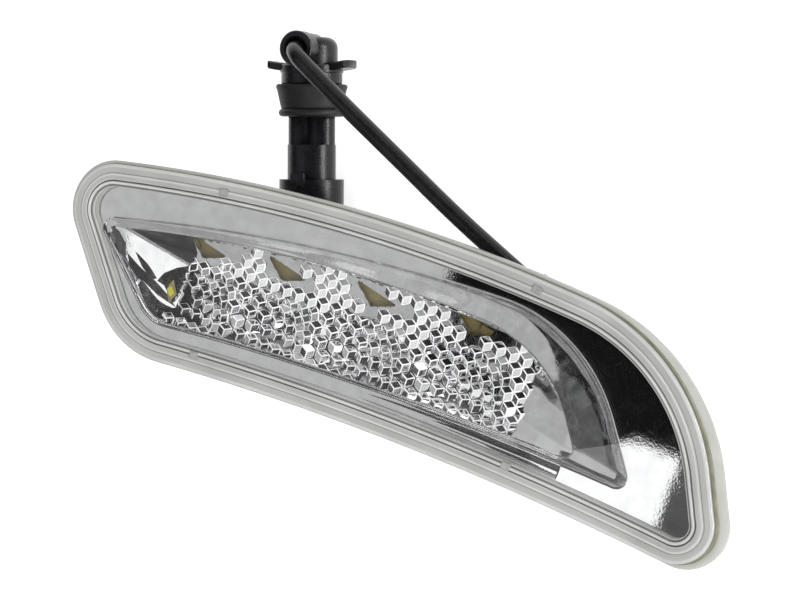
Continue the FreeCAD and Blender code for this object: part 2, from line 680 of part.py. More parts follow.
def tube(name, points, radius):
    path = tube_path(points)
    ring = Part.Wire(Part.Circle(points[0], points[1] - points[0], radius).toShape())
    solid = path.makePipeShell([ring], True, False)
    ideal = math.pi * radius**2 * path.Length
    print(name, "length, mm:", round(path.Length, 1), "volume share:", round(solid.Volume / ideal, 4))
    piece = doc.addObject("Part::Feature", name)
    piece.Label = name
    piece.Shape = solid
    piece.Placement = FreeCAD.Placement()
    return piece


cable = tube("cable", ROUTE, CABLE_R.value)

gland_long = size("gland_length") + size("gland_head")
gland_sleeve = rod("gland_sleeve", GLAND_R, gland_long, along(GLAND, GLAND_WAY))
gland_bore = rod("gland_bore", CABLE_R + size("slip_fit") * 0.5, gland_long, along(GLAND, GLAND_WAY))
cable_gland = cut("cable_gland", gland_sleeve, gland_bore)
cable_gland.Label = "cable_gland"

wire_solids = []
lead_rise = unit(GLAND_WAY.cross(V(0, 0, 1)).cross(GLAND_WAY))
for number, side in enumerate((-1, 1), 1):
    spread = side * num("wire_gap") / 2
    begin = ROUTE[-1] + lead_rise * spread
    end = on_board(led_steps[-1] - num("board_end") * 0.8, spread, BOARD_UNDER.value)
    below = end - V(0, 0, num("lead_drop"))
    bend = begin + GLAND_WAY * num("lead_run")
    low = V((bend.x + below.x) / 2, bend.y - num("lead_inset") + spread, below.z - num("wire_gap"))
    wire_solids.append(tube(f"lead_{number}", [begin, bend, low, below, end], num("wire_radius")))
supply_leads = group("supply_leads", wire_solids)


# Plug: every piece stands on one axis that starts at the mouth

turn, tilt = math.radians(num("plug_turn")), math.radians(num("plug_tilt"))
PLUG_WAY = V(-math.sin(turn) * math.cos(tilt), math.cos(turn) * math.cos(tilt), math.sin(tilt))
PLUG_UP = unit(V(0, 0, 1) - PLUG_WAY * PLUG_WAY.z)
PLUG_SIDE = PLUG_UP.cross(PLUG_WAY)
mouth_height = num("collar_radius") * math.cos(tilt) + num("collar_floor")
MOUTH = V(num("plug_x"), num("plug_y"), mouth_height)
PLUG_FRAME = FreeCAD.Placement(FreeCAD.Matrix(
    PLUG_SIDE.x, PLUG_UP.x, PLUG_WAY.x, MOUTH.x,
    PLUG_SIDE.y, PLUG_UP.y, PLUG_WAY.y, MOUTH.y,
    PLUG_SIDE.z, PLUG_UP.z, PLUG_WAY.z, MOUTH.z, 0, 0, 0, 1))


def on_plug(x=0.0, y=0.0, z=0.0, turned=None):
    """A placement in the plug's frame: x sideways, y up, z from the mouth to the elbow."""
    return PLUG_FRAME.multiply(FreeCAD.Placement(V(x, y, z), turned or FreeCAD.Rotation()))


BODY_TOP = size("collar_proud") + size("body_length")
RING_TOP = BODY_TOP + size("ring_length")
CONE_TOP = RING_TOP + size("cone_length")
NECK_TOP = CONE_TOP + size("neck_length")
WING_TOP = NECK_TOP + size("wing_thick")

collar_outside = rod("collar_outside", size("collar_radius"), size("collar_length"), on_plug())
collar_bore = size("body_radius") + size("slip_fit")
collar_inside = rod("collar_inside", collar_bore, size("collar_length"), on_plug())
collar_shell = cut("collar_shell", collar_outside, collar_inside)
tab_foot = num("collar_radius") - num("tab_high")
collar_tab = block("collar_tab", size("tab_wide"), size("tab_high") * 2, size("tab_long"),
                   on_plug(-num("tab_wide") / 2, tab_foot, num("collar_length") - num("tab_long") / 2))
plug_collar = fused("plug_collar", collar_shell, collar_tab)
plug_collar.Label = "plug_collar"

lower_long = size("body_length") - size("lobe_length")
lower = rod("body_lower", size("body_radius"), lower_long, on_plug(z=num("collar_proud")))
lobe_base = num("collar_proud") + lower_long.value
lobes = [rod(f"body_lobe_{number}", size("lobe_radius"), size("lobe_length"),
             on_plug(way * num("lobe_offset"), 0, lobe_base)) for number, way in enumerate((-1, 1), 1)]
slot_wide, slot_thick = (size(f"terminal_{part}") + size("slip_fit") for part in ("wide", "thick"))
slots = [block(f"body_slot_{number}", slot_thick, slot_wide, size("terminal_long") + size("slot_clear"),
               on_plug(way * num("terminal_gap") / 2 - slot_thick.value / 2, -slot_wide.value / 2,
                       num("collar_proud"))) for number, way in enumerate((-1, 1), 1)]
plug_body = cut("plug_body", fused("body_solid", lower, *lobes), fused("body_slots", *slots))
plug_body.Label = "plug_body"
terminals = group("terminals", [
    block(f"terminal_{number}", size("terminal_thick"), size("terminal_wide"), size("terminal_long"),
          on_plug(way * num("terminal_gap") / 2 - num("terminal_thick") / 2, -num("terminal_wide") / 2,
                  num("collar_proud") + num("slot_clear"))) for number, way in enumerate((-1, 1), 1)])

stem_bore = size("stem_radius") + size("slip_fit") * 0.5
ring_at = on_plug(z=BODY_TOP.value)
seal_ring = cut("seal_ring", rod("ring_outside", size("ring_radius"), size("ring_length"), ring_at),
                rod("ring_inside", stem_bore, size("ring_length"), ring_at))
seal_ring.Label = "seal_ring"
cone = doc.addObject("Part::Cone", "seal_cone")
bind(cone, Radius1=size("seal_low_radius"), Radius2=size("seal_top_radius"), Height=size("cone_length"))
cone.Placement = on_plug(z=RING_TOP.value)
seal_inside = rod("seal_inside", stem_bore, size("cone_length"), on_plug(z=RING_TOP.value))
plug_seal = cut("plug_seal", cone, seal_inside)
plug_seal.Label = "plug_seal"

stem = rod("elbow_stem", size("stem_radius"), CONE_TOP - BODY_TOP, on_plug(z=BODY_TOP.value))
neck = rod("elbow_neck", size("neck_radius"), size("neck_length"), on_plug(z=CONE_TOP.value))
wing_plate = block("wing_plate", size("wing_span"), size("wing_wide"), size("wing_thick"),
                   on_plug(-num("wing_span") / 2, -num("wing_wide") / 2, NECK_TOP.value))
doc.recompute()
wing = doc.addObject("Part::Fillet", "wing")
wing.Base = wing_plate
wing_corners = [number for number, edge in enumerate(wing_plate.Shape.Edges, 1)
                if abs(edge.Length - num("wing_thick")) < 0.001]
wing.Edges = [(number, num("wing_round"), num("wing_round")) for number in wing_corners]
wing_disc = rod("wing_disc", size("neck_radius"), size("wing_thick"), on_plug(z=NECK_TOP.value))
elbow_post = rod("elbow_post", size("cap_radius"), size("cap_length"), on_plug(z=WING_TOP.value))
doc.recompute()
elbow_cap = doc.addObject("Part::Fillet", "elbow_cap")
elbow_cap.Base = elbow_post
far_edges = [number for number, edge in enumerate(elbow_post.Shape.Edges, 1)
             if len(edge.Vertexes) == 1 and (edge.CenterOfMass - MOUTH).dot(PLUG_WAY) > WING_TOP.value + 1]
elbow_cap.Edges = [(number, num("cap_round"), num("cap_round")) for number in far_edges]
upward = FreeCAD.Rotation(V(0, 0, 1), V(0, 1, 0))
outlet_at = WING_TOP.value + num("outlet_place")
outlet_tube = rod("outlet_tube", size("outlet_radius"), size("outlet_reach"),
                  on_plug(z=outlet_at, turned=upward))
elbow_solid = fused("elbow_solid", stem, neck, wing, wing_disc, elbow_cap, outlet_tube)
outlet_hole = rod("outlet_hole", size("outlet_bore"), size("outlet_depth"),
                  on_plug(y=num("outlet_reach") - num("outlet_depth"), z=outlet_at, turned=upward))
plug_elbow = cut("plug_elbow", elbow_solid, outlet_hole)
plug_elbow.Label = "plug_elbow"
print("outlet mouth:", on_plug(y=num("outlet_reach"), z=outlet_at).Base)


# Check and write every piece

PIECES = [housing, lens_seal, lens, bezel, reflector, led_board, leds, driver_chip, resistors, capacitor,
          board_screws, vent_cap, cable_gland, cable, supply_leads, plug_collar, plug_body, terminals,
          seal_ring, plug_seal, plug_elbow]
doc.recompute()
for item in doc.Objects:
    if "Invalid" in item.State or "Error" in item.State:
        raise SystemExit(f"{item.Name} failed: {item.State}")
os.makedirs("parts", exist_ok=True)
for piece in PIECES:
    if piece.Shape.isNull() or not piece.Shape.isValid():
        raise SystemExit(f"{piece.Label} has no valid shape")
    piece.Shape.exportStep(f"parts/{piece.Label}.step")
    print(piece.Label, "solids", len(piece.Shape.Solids), "volume", round(piece.Shape.Volume, 1))
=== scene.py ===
"""Looks of an LED marker lamp with a short cable and a two-pole sealed plug.

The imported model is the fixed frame. Lengths in this file are millimetres in the part's own frame
(X along the lamp, Y across it, Z out of the lens) and turn into metres where a mesh is made.
The finishes and the two gaps that mesh edits close are in metres, as Blender counts them.
"""
import logging
import math
from contextlib import contextmanager
from dataclasses import dataclass
from enum import Enum, IntEnum, auto
from typing import Iterator, Optional, Sequence

import bmesh
import bpy
import numpy as np
from mathutils import Matrix, Vector


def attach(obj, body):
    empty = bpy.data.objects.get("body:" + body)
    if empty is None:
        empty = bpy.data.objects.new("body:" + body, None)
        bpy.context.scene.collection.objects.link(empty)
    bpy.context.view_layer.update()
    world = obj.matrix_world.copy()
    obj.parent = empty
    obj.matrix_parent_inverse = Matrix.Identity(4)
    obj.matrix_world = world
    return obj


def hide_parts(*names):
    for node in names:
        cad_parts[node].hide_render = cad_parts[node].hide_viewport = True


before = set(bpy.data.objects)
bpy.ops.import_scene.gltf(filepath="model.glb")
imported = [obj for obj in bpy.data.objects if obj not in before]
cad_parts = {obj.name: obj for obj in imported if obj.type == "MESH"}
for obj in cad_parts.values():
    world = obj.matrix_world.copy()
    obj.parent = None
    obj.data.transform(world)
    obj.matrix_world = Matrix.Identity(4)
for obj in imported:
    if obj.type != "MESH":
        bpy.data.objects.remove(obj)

LOG = logging.getLogger("marker_lamp")
MM = 0.001
ROOT = "root"
Point = tuple[float, float, float]
Ring = np.ndarray
Place = tuple[float, float]
NOISE_SPAN = (0.3, 0.7)
MERGE_GAP = 1e-7
WELD_GAP = 2e-6


# Node trees of the finishes

class Shader:
    """A material's node tree, with short calls that add and join its nodes."""

    def __init__(self, name: str) -> None:
        """Starts an empty tree that reads the piece's own Object coordinates."""
        self.material = bpy.data.materials.new(name)
        self.material.use_nodes = True
        self.tree = self.material.node_tree
        self.tree.nodes.clear()
        self.output = self.tree.nodes.new("ShaderNodeOutputMaterial")
        self.place = self.tree.nodes.new("ShaderNodeTexCoord").outputs["Object"]

    def node(self, kind: str, **settings: object) -> bpy.types.Node:
        """Adds a node and sets its properties.

        Args:
            kind: the node's type.
            settings: its properties by name.

        Returns:
            The new node.
        """
        made = self.tree.nodes.new(kind)
        for key, value in settings.items():
            setattr(made, key, value)
        return made

    def join(self, source: object, target: bpy.types.NodeSocket) -> None:
        """Links a socket, or sets a plain value on the target's own socket."""
        if isinstance(source, bpy.types.NodeSocket):
            self.tree.links.new(source, target)
        else:
            target.default_value = source

    def noise(self, scale: float, octaves: float) -> bpy.types.NodeSocket:
        """A noise value over the surface, with the given waves per metre."""
        made = self.node("ShaderNodeTexNoise")
        made.inputs["Scale"].default_value = scale
        made.inputs["Detail"].default_value = octaves
        self.join(self.place, made.inputs["Vector"])
        return made.outputs["Fac"]

    def span(self, source: bpy.types.NodeSocket, low: float, high: float) -> bpy.types.NodeSocket:
        """Maps a noise's usual values to low..high, held at both ends."""
        made = self.node("ShaderNodeMapRange", clamp=True)
        for name, value in zip(("From Min", "From Max", "To Min", "To Max"), (*NOISE_SPAN, low, high)):
            made.inputs[name].default_value = value
        self.join(source, made.inputs["Value"])
        return made.outputs["Result"]

    def shades(self, source: bpy.types.NodeSocket, first: Point, second: Point) -> bpy.types.NodeSocket:
        """A colour between two shades, chosen by a noise."""
        made = self.node("ShaderNodeValToRGB")
        for stop, place, shade in zip(made.color_ramp.elements, NOISE_SPAN, (first, second)):
            stop.position = place
            stop.color = (*shade, 1.0)
        self.join(source, made.inputs["Fac"])
        return made.outputs["Color"]

    def bump(self, source: bpy.types.NodeSocket, strength: float, depth: float,
             under: Optional[bpy.types.NodeSocket] = None) -> bpy.types.NodeSocket:
        """A bumped normal.

        Args:
            source: the height, from 0 to 1.
            strength: share of the bump.
            depth: height in metres.
            under: a coarser bumped normal below this one.

        Returns:
            The normal socket.
        """
        made = self.node("ShaderNodeBump")
        made.inputs["Strength"].default_value = strength
        made.inputs["Distance"].default_value = depth
        self.join(source, made.inputs["Height"])
        if under is not None:
            self.join(under, made.inputs["Normal"])
        return made.outputs["Normal"]

    def surface(self, **inputs: object) -> bpy.types.Node:
        """Ends the tree in a principled surface; input names use underscores for spaces."""
        made = self.node("ShaderNodeBsdfPrincipled")
        for name, value in inputs.items():
            self.join(value, made.inputs[name.replace("_", " ")])
        self.join(made.outputs["BSDF"], self.output.inputs["Surface"])
        return made


@dataclass(frozen=True)
class Chrome:
    """Vacuum-plated moulding: bright, with the faint waves and specks of the plastic under it."""

    name: str
    dark: Point = (0.80, 0.80, 0.82)
    light: Point = (0.93, 0.93, 0.94)
    gloss_low: float = 0.03
    gloss_high: float = 0.07
    wave_scale: float = 60.0
    wave: float = 0.04
    grain_scale: float = 2500.0
    grain: float = 0.02
    wave_depth: float = 0.002
    grain_depth: float = 0.0003
    cloud_ratio: float = 1.7
    cloud_octaves: float = 5.0
    bump_octaves: float = 2.0

    def make(self) -> bpy.types.Material:
        """Builds the material."""
        tree = Shader(self.name)
        cloud = tree.noise(self.wave_scale * self.cloud_ratio, self.cloud_octaves)
        waves = tree.bump(tree.noise(self.wave_scale, self.bump_octaves), self.wave, self.wave_depth)
        specks = tree.noise(self.grain_scale, self.bump_octaves)
        grains = tree.bump(specks, self.grain, self.grain_depth, waves)
        tree.surface(Base_Color=tree.shades(cloud, self.dark, self.light), Metallic=1.0,
                     Roughness=tree.span(cloud, self.gloss_low, self.gloss_high), Normal=grains)
        return tree.material


@dataclass(frozen=True)
class Moulding:
    """Moulded plastic or rubber: two near shades, an uneven gloss and a fine grain.

    A milky one spreads light below its surface, and one with a painted glow gives off light of its own,
    though it is no lamp.
    """

    name: str
    dark: Point
    light: Point
    gloss_low: float
    gloss_high: float
    cloud_scale: float = 90.0
    grain_scale: float = 1800.0
    grain: float = 0.15
    grain_depth: float = 0.0002
    metallic: float = 0.0
    milky: float = 0.0
    painted_glow: float = 0.0
    specular: float = 0.5
    milky_depth: float = 0.004
    cloud_octaves: float = 6.0
    grain_octaves: float = 3.0

    def make(self) -> bpy.types.Material:
        """Builds the material."""
        tree = Shader(self.name)
        cloud = tree.noise(self.cloud_scale, self.cloud_octaves)
        grain = tree.noise(self.grain_scale, self.grain_octaves)
        made = tree.surface(Base_Color=tree.shades(cloud, self.dark, self.light), Metallic=self.metallic,
                            Roughness=tree.span(grain, self.gloss_low, self.gloss_high),
                            Normal=tree.bump(grain, self.grain, self.grain_depth))
        made.inputs["Specular IOR Level"].default_value = self.specular
        if self.milky:
            made.inputs["Subsurface Weight"].default_value = self.milky
            made.inputs["Subsurface Radius"].default_value = (self.milky_depth,) * 3
            made.inputs["Subsurface Scale"].default_value = 1.0
        # Painted glow: light given off by a part that is no lamp.
        if self.painted_glow:
            made.inputs["Emission Color"].default_value = (*self.light, 1.0)
            made.inputs["Emission Strength"].default_value = self.painted_glow
        return tree.material


@dataclass(frozen=True)
class ClearPlastic:
    """Clear lens plastic; lamps shine through it without being bent."""

    name: str
    refraction: float = 1.49
    dark: Point = (0.965, 0.972, 0.965)
    light: Point = (0.99, 0.99, 0.985)
    gloss_high: float = 0.015
    haze_scale: float = 140.0
    haze_octaves: float = 4.0

    def make(self) -> bpy.types.Material:
        """Builds the material."""
        tree = Shader(self.name)
        haze = tree.noise(self.haze_scale, self.haze_octaves)
        made = tree.surface(Base_Color=tree.shades(haze, self.dark, self.light),
                            Roughness=tree.span(haze, 0.0, self.gloss_high), IOR=self.refraction)
        made.inputs["Transmission Weight"].default_value = 1.0
        light = tree.node("ShaderNodeLightPath")
        clear = tree.node("ShaderNodeBsdfTransparent")
        mix = tree.node("ShaderNodeMixShader")
        tree.join(light.outputs["Is Shadow Ray"], mix.inputs["Fac"])
        tree.join(made.outputs["BSDF"], mix.inputs[1])
        tree.join(clear.outputs["BSDF"], mix.inputs[2])
        tree.join(mix.outputs["Shader"], tree.output.inputs["Surface"])
        return tree.material


class Look(Enum):
    """The lamp's finishes."""

    HOUSING = Moulding("milky_housing", (0.50, 0.51, 0.47), (0.60, 0.61, 0.57), 0.28, 0.4, 60.0, milky=0.15)
    RIM = Moulding("milky_lens_rim", (0.40, 0.405, 0.385), (0.49, 0.495, 0.475), 0.12, 0.22, 50.0,
                   milky=0.2)
    # Painted highlight: a lighter copy of the rim's finish, laid on the beads' raised faces.
    RIM_PAINTED_HIGHLIGHT = Moulding("lens_rim_painted_highlight", (0.54, 0.545, 0.53), (0.68, 0.685, 0.67), 0.08, 0.16, 45.0,
                         milky=0.2)
    # Painted shade: a darker copy of the rim's finish, laid in the grooves and on the outer wall under the
    # edge.
    RIM_PAINTED_SHADE = Moulding("lens_rim_painted_shade", (0.20, 0.205, 0.19), (0.29, 0.295, 0.28), 0.1, 0.2, 45.0,
                        milky=0.1)
    # Painted glow: the underside and tongue give off light, which lifts the shade of the narrow gap under the
    # rim.
    RIM_UNDER_PAINTED_GLOW = Moulding("lens_rim_underside_painted_glow", (0.36, 0.365, 0.35), (0.46, 0.465, 0.45), 0.1, 0.2, 45.0,
                         painted_glow=0.45)
    CLIP = Moulding("lens_clip", (0.28, 0.285, 0.27), (0.40, 0.405, 0.39), 0.1, 0.2, 300.0)
    CLEAR = ClearPlastic("clear_lens_plastic")
    SEALANT = Moulding("olive_sealant", (0.17, 0.17, 0.11), (0.27, 0.265, 0.18), 0.35, 0.5, 200.0)
    BEZEL = Chrome("bezel_chrome", gloss_low=0.015, gloss_high=0.04, wave_scale=90.0, wave=0.010,
                   grain_scale=1400.0, grain=0.018)
    FACETS = Chrome("facet_chrome", (0.70, 0.70, 0.72), (0.84, 0.84, 0.86), wave_scale=140.0, wave=0.05)
    # Painted highlight: a light, part metal finish with a painted glow on the facets' rounded edges.
    EDGES = Moulding("facet_edge_painted_highlight", (0.80, 0.80, 0.80), (0.92, 0.92, 0.92), 0.25, 0.4, 300.0,
                     metallic=0.35, painted_glow=0.2)
    BOARD = Moulding("olive_board", (0.14, 0.115, 0.045), (0.21, 0.168, 0.068), 0.35, 0.5, 160.0)
    PHOSPHOR = Moulding("light_phosphor", (0.36, 0.36, 0.012), (0.46, 0.45, 0.025), 0.3, 0.45, 700.0)
    MOULD = Moulding("black_plug_plastic", (0.005, 0.005, 0.007), (0.010, 0.010, 0.013), 0.2, 0.32, 240.0,
                     2600.0, 0.3, specular=0.3)
    RUBBER = Moulding("seal_rubber", (0.007, 0.006, 0.007), (0.012, 0.011, 0.012), 0.42, 0.6, 180.0,
                      2200.0, 0.25, specular=0.3)
    SHEATH = Moulding("cable_sheath", (0.003, 0.003, 0.003), (0.010, 0.010, 0.011), 0.22, 0.34, 150.0,
                      1500.0, 0.12, specular=0.4)
    STEEL = Moulding("plain_steel", (0.50, 0.50, 0.50), (0.66, 0.66, 0.67), 0.2, 0.36, 400.0, metallic=1.0)
    ZINC = Moulding("yellow_zinc", (0.15, 0.12, 0.05), (0.23, 0.18, 0.08), 0.32, 0.46, 400.0, metallic=0.5)
    BRASS = Moulding("terminal_brass", (0.62, 0.46, 0.19), (0.74, 0.57, 0.27), 0.2, 0.34, 400.0, metallic=1.0)
    SLEEVE = Moulding("lead_covering", (0.02, 0.02, 0.02), (0.03, 0.03, 0.032), 0.4, 0.55, 300.0)

    @property
    def material(self) -> bpy.types.Material:
        """The finish's material, made on first use."""
        found = bpy.data.materials.get(self.value.name)
        return found if found is not None else self.value.make()


# Mesh helpers

class Ends(Enum):
    """What the ends of a tube of rings are."""

    OPEN = auto()
    CAPPED = auto()
    JOINED = auto()


def linked(name: str, data: bpy.types.ID) -> bpy.types.Object:
    """A new object of the scene, at the origin."""
    made = bpy.data.objects.new(name, data)
    bpy.context.scene.collection.objects.link(made)
    return made


@contextmanager
def editing(mesh: bpy.types.Mesh) -> Iterator[bmesh.types.BMesh]:
    """Opens a mesh for edits and writes them back."""
    work = bmesh.new()
    work.from_mesh(mesh)
    yield work
    work.to_mesh(mesh)
    work.free()


def shaded(mesh: bpy.types.Mesh, crease_angle: float) -> None:
    """Shades a mesh smooth but for edges sharper than an angle in degrees."""
    mesh.shade_smooth()
    mesh.set_sharp_from_angle(angle=math.radians(crease_angle))


def piece_from(name: str, points: Sequence[Sequence[float]], faces: Sequence[Sequence[int]],
               looks: Sequence[Look], choice: Optional[Sequence[int]] = None,
               crease_angle: float = 35.0) -> bpy.types.Object:
    """Makes an object at the origin from points in millimetres.

    Args:
        name: the piece's name.
        points: vertices, mm.
        faces: vertex numbers of each face.
        looks: the finishes, one for each material slot.
        choice: the slot of each face.
        crease_angle: edges sharper than this shade as edges, degrees.

    Returns:
        The new object.
    """
    mesh = bpy.data.meshes.new(name)
    mesh.from_pydata([tuple(float(c) * MM for c in point) for point in points], [], [tuple(f) for f in faces])
    for look in looks:
        mesh.materials.append(look.material)
    if choice is not None:
        mesh.polygons.foreach_set("material_index", np.array(choice, np.int32))
    mesh.validate()
    with editing(mesh) as work:
        bmesh.ops.remove_doubles(work, verts=work.verts, dist=MERGE_GAP)
        bmesh.ops.recalc_face_normals(work, faces=work.faces)
    shaded(mesh, crease_angle)
    return linked(name, mesh)


def loft_faces(rings: int, around: int, ends: Ends = Ends.OPEN) -> list[list[int]]:
    """Faces of a tube of closed rings.

    Args:
        rings: how many rings.
        around: points in each ring.
        ends: whether the tube stays open, is closed by two faces or joins its last ring to its first one.

    Returns:
        Vertex numbers of each face.
    """
    faces = []
    for ring in range(rings if ends is Ends.JOINED else rings - 1):
        here, there = ring * around, (ring + 1) % rings * around
        for step in range(around):
            after = (step + 1) % around
            faces.append([here + step, here + after, there + after, there + step])
    if ends is Ends.CAPPED:
        last = (rings - 1) * around
        faces += [list(range(around))[::-1], list(range(last, last + around))]
    return faces


def softened_copy(node: str, name: str, look: Look, width: float) -> bpy.types.Object:
    """A copy of a CAD node with its sharp edges rounded, which then stands for the node.

    Args:
        node: the CAD node.
        name: the new piece's name.
        look: its finish.
        width: width of the rounding, mm.

    Returns:
        The new piece.
    """
    flat_angle, round_angle, crease_angle = math.radians(0.6), math.radians(40.0), 50.0
    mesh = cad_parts[node].data.copy()
    mesh.name = name
    with editing(mesh) as work:
        bmesh.ops.remove_doubles(work, verts=work.verts, dist=WELD_GAP)
        bmesh.ops.dissolve_limit(work, angle_limit=flat_angle, verts=work.verts, edges=work.edges)
        sharp = [edge for edge in work.edges
                 if len(edge.link_faces) == 2 and edge.calc_face_angle(0.0) > round_angle]
        bmesh.ops.bevel(work, geom=sharp, offset=width * MM, segments=2, profile=0.5, affect="EDGES",
                        clamp_overlap=True)
    mesh.materials.clear()
    mesh.materials.append(look.material)
    shaded(mesh, crease_angle)
    return linked(name, mesh)


def settle(piece: bpy.types.Object, slot: str, *nodes: str) -> bpy.types.Object:
    """Rides a piece on the lamp and hides the nodes that it stands for."""
    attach(piece, ROOT)
    if nodes:
        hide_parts(*nodes)
    LOG.info("%s: %d faces", piece.name, len(piece.data.polygons) if piece.type == "MESH" else 0)
    return piece


# Outlines of the lamp

@dataclass(frozen=True)
class Outline:
    """A closed outline of four corner circles, a bowed top edge and a hollow bottom edge."""

    bl: Point
    br: Point
    tr: Point
    tl: Point
    top: float
    bottom: float
    samples: tuple[int, ...] = (52, 18, 8, 34, 52, 20, 8, 26)

    @staticmethod
    def _touch(first: np.ndarray, first_r: float, second: np.ndarray, second_r: float) -> np.ndarray:
        """Normal of the line that touches two circles when they are passed anticlockwise."""
        gap = second - first
        reach = np.linalg.norm(gap)
        lean = (first_r - second_r) / reach
        across = np.array([-gap[1], gap[0]]) / reach * math.sqrt(1 - lean**2)
        normals = [gap / reach * lean + across * sign for sign in (1, -1)]

        def forward(normal: np.ndarray) -> float:
            """How far the normal agrees with anticlockwise travel."""
            run = gap + normal * (second_r - first_r)
            return float(run[1] * normal[0] - run[0] * normal[1])

        return max(normals, key=forward)

    @staticmethod
    def _meet(first: np.ndarray, first_reach: float, second: np.ndarray, second_reach: float) -> np.ndarray:
        """The lower of the two points at the given reaches from two centres."""
        gap = second - first
        length = np.linalg.norm(gap)
        along = (first_reach**2 - second_reach**2 + length**2) / (2 * length)
        across = math.sqrt(first_reach**2 - along**2)
        side = np.array([-gap[1], gap[0]]) / length
        both = [first + gap / length * along + side * across * sign for sign in (1, -1)]
        return min(both, key=lambda point: point[1])

    def ring(self, inset: float, height: float) -> Ring:
        """Points of the outline moved inwards.

        Args:
            inset: how far inwards, mm.
            height: the points' level, mm.

        Returns:
            An array of points, anticlockwise; equal numbers match between outlines.
        """
        middle = {key: np.array(getattr(self, key)[:2]) for key in ("bl", "br", "tr", "tl")}
        reach = {key: getattr(self, key)[2] - inset for key in middle}
        top_r, bottom_r = self.top - inset, self.bottom + inset
        top = self._meet(middle["tl"], top_r - reach["tl"], middle["tr"], top_r - reach["tr"])
        low = self._meet(middle["bl"], bottom_r + reach["bl"], middle["br"], bottom_r + reach["br"])
        left = self._touch(middle["tl"], reach["tl"], middle["bl"], reach["bl"])
        right = self._touch(middle["br"], reach["br"], middle["tr"], reach["tr"])

        def turn(vector: np.ndarray) -> float:
            """Angle of a vector."""
            return math.atan2(vector[1], vector[0])

        def way(start: np.ndarray, end: np.ndarray) -> float:
            """Angle of the direction from one point to another."""
            return turn(end - start)

        def arc(centre: np.ndarray, radius: float, start: float, end: float, count: int,
                back: bool = False) -> np.ndarray:
            """Points of an arc from start to end, without its last point."""
            full = -2 * math.pi if back else 2 * math.pi
            while (end > start) if back else (end < start):
                end += full
            angles = np.linspace(start, end, count, endpoint=False)
            return centre + radius * np.stack([np.cos(angles), np.sin(angles)], 1)

        def line(first: str, second: str, normal: np.ndarray, count: int) -> np.ndarray:
            """Points of a straight run, without its last point."""
            ends = [middle[key] + normal * reach[key] for key in (first, second)]
            share = np.linspace(0, 1, count, endpoint=False)[:, None]
            return ends[0] * (1 - share) + ends[1] * share

        count = self.samples
        runs = [
            arc(low, bottom_r, way(low, middle["bl"]), way(low, middle["br"]), count[0], back=True),
            arc(middle["br"], reach["br"], way(middle["br"], low), turn(right), count[1]),
            line("br", "tr", right, count[2]),
            arc(middle["tr"], reach["tr"], turn(right), way(top, middle["tr"]), count[3]),
            arc(top, top_r, way(top, middle["tr"]), way(top, middle["tl"]), count[4]),
            arc(middle["tl"], reach["tl"], way(top, middle["tl"]), turn(left), count[5]),
            line("tl", "bl", left, count[6]),
            arc(middle["bl"], reach["bl"], turn(left), way(middle["bl"], low), count[7]),
        ]
        flat = np.concatenate(runs)
        return np.column_stack([flat, np.full(len(flat), height)])

    @property
    def around(self) -> int:
        """How many points a ring has."""
        return sum(self.samples)


LIP_OUTLINE = Outline((-84.9, -8.0, 33.0), (120.3, -20.6, 14.0), (62.5, -31.8, 70.8), (-116.7, 6.0, 17.6),
                      660.0, 1100.0)
LENS_OUTLINE = Outline((-83.4, -8.0, 33.0), (117.3, -20.6, 14.0), (59.5, -31.8, 70.8), (-115.2, 6.0, 17.6),
                       660.0, 1100.0)
CREASE_OUTLINE = Outline((-84.0, -11.5, 16.0), (93.0, -14.0, 3.5), (38.5, -29.5, 57.0), (-114.4, -0.9, 4.0),
                         680.0, 1100.0)
STEP_OUTLINE = Outline((-84.0, -11.5, 15.2), (71.0, -13.5, 3.5), (28.0, -31.0, 48.8), (-111.8, -3.2, 3.6),
                       520.0, 1100.0)
FOOT_OUTLINE = Outline((-84.0, -11.5, 16.0), (46.0, -14.0, 6.0), (40.0, 3.0, 12.0), (-107.5, -3.0, 3.5),
                       520.0, 1100.0)


# The lens

class Band(IntEnum):
    """Finish slots of the lens, in order."""

    MILKY = 0
    # Painted highlight: the rim's lighter copy on the beads' raised faces.
    CLEAR = 1
    # Painted shade in the grooves and on the outer wall.
    DARK = 2
    WINDOW = 3
    # The underside and tongue, with a painted glow.
    PAINTED_UNDERSIDE_GLOW = 4


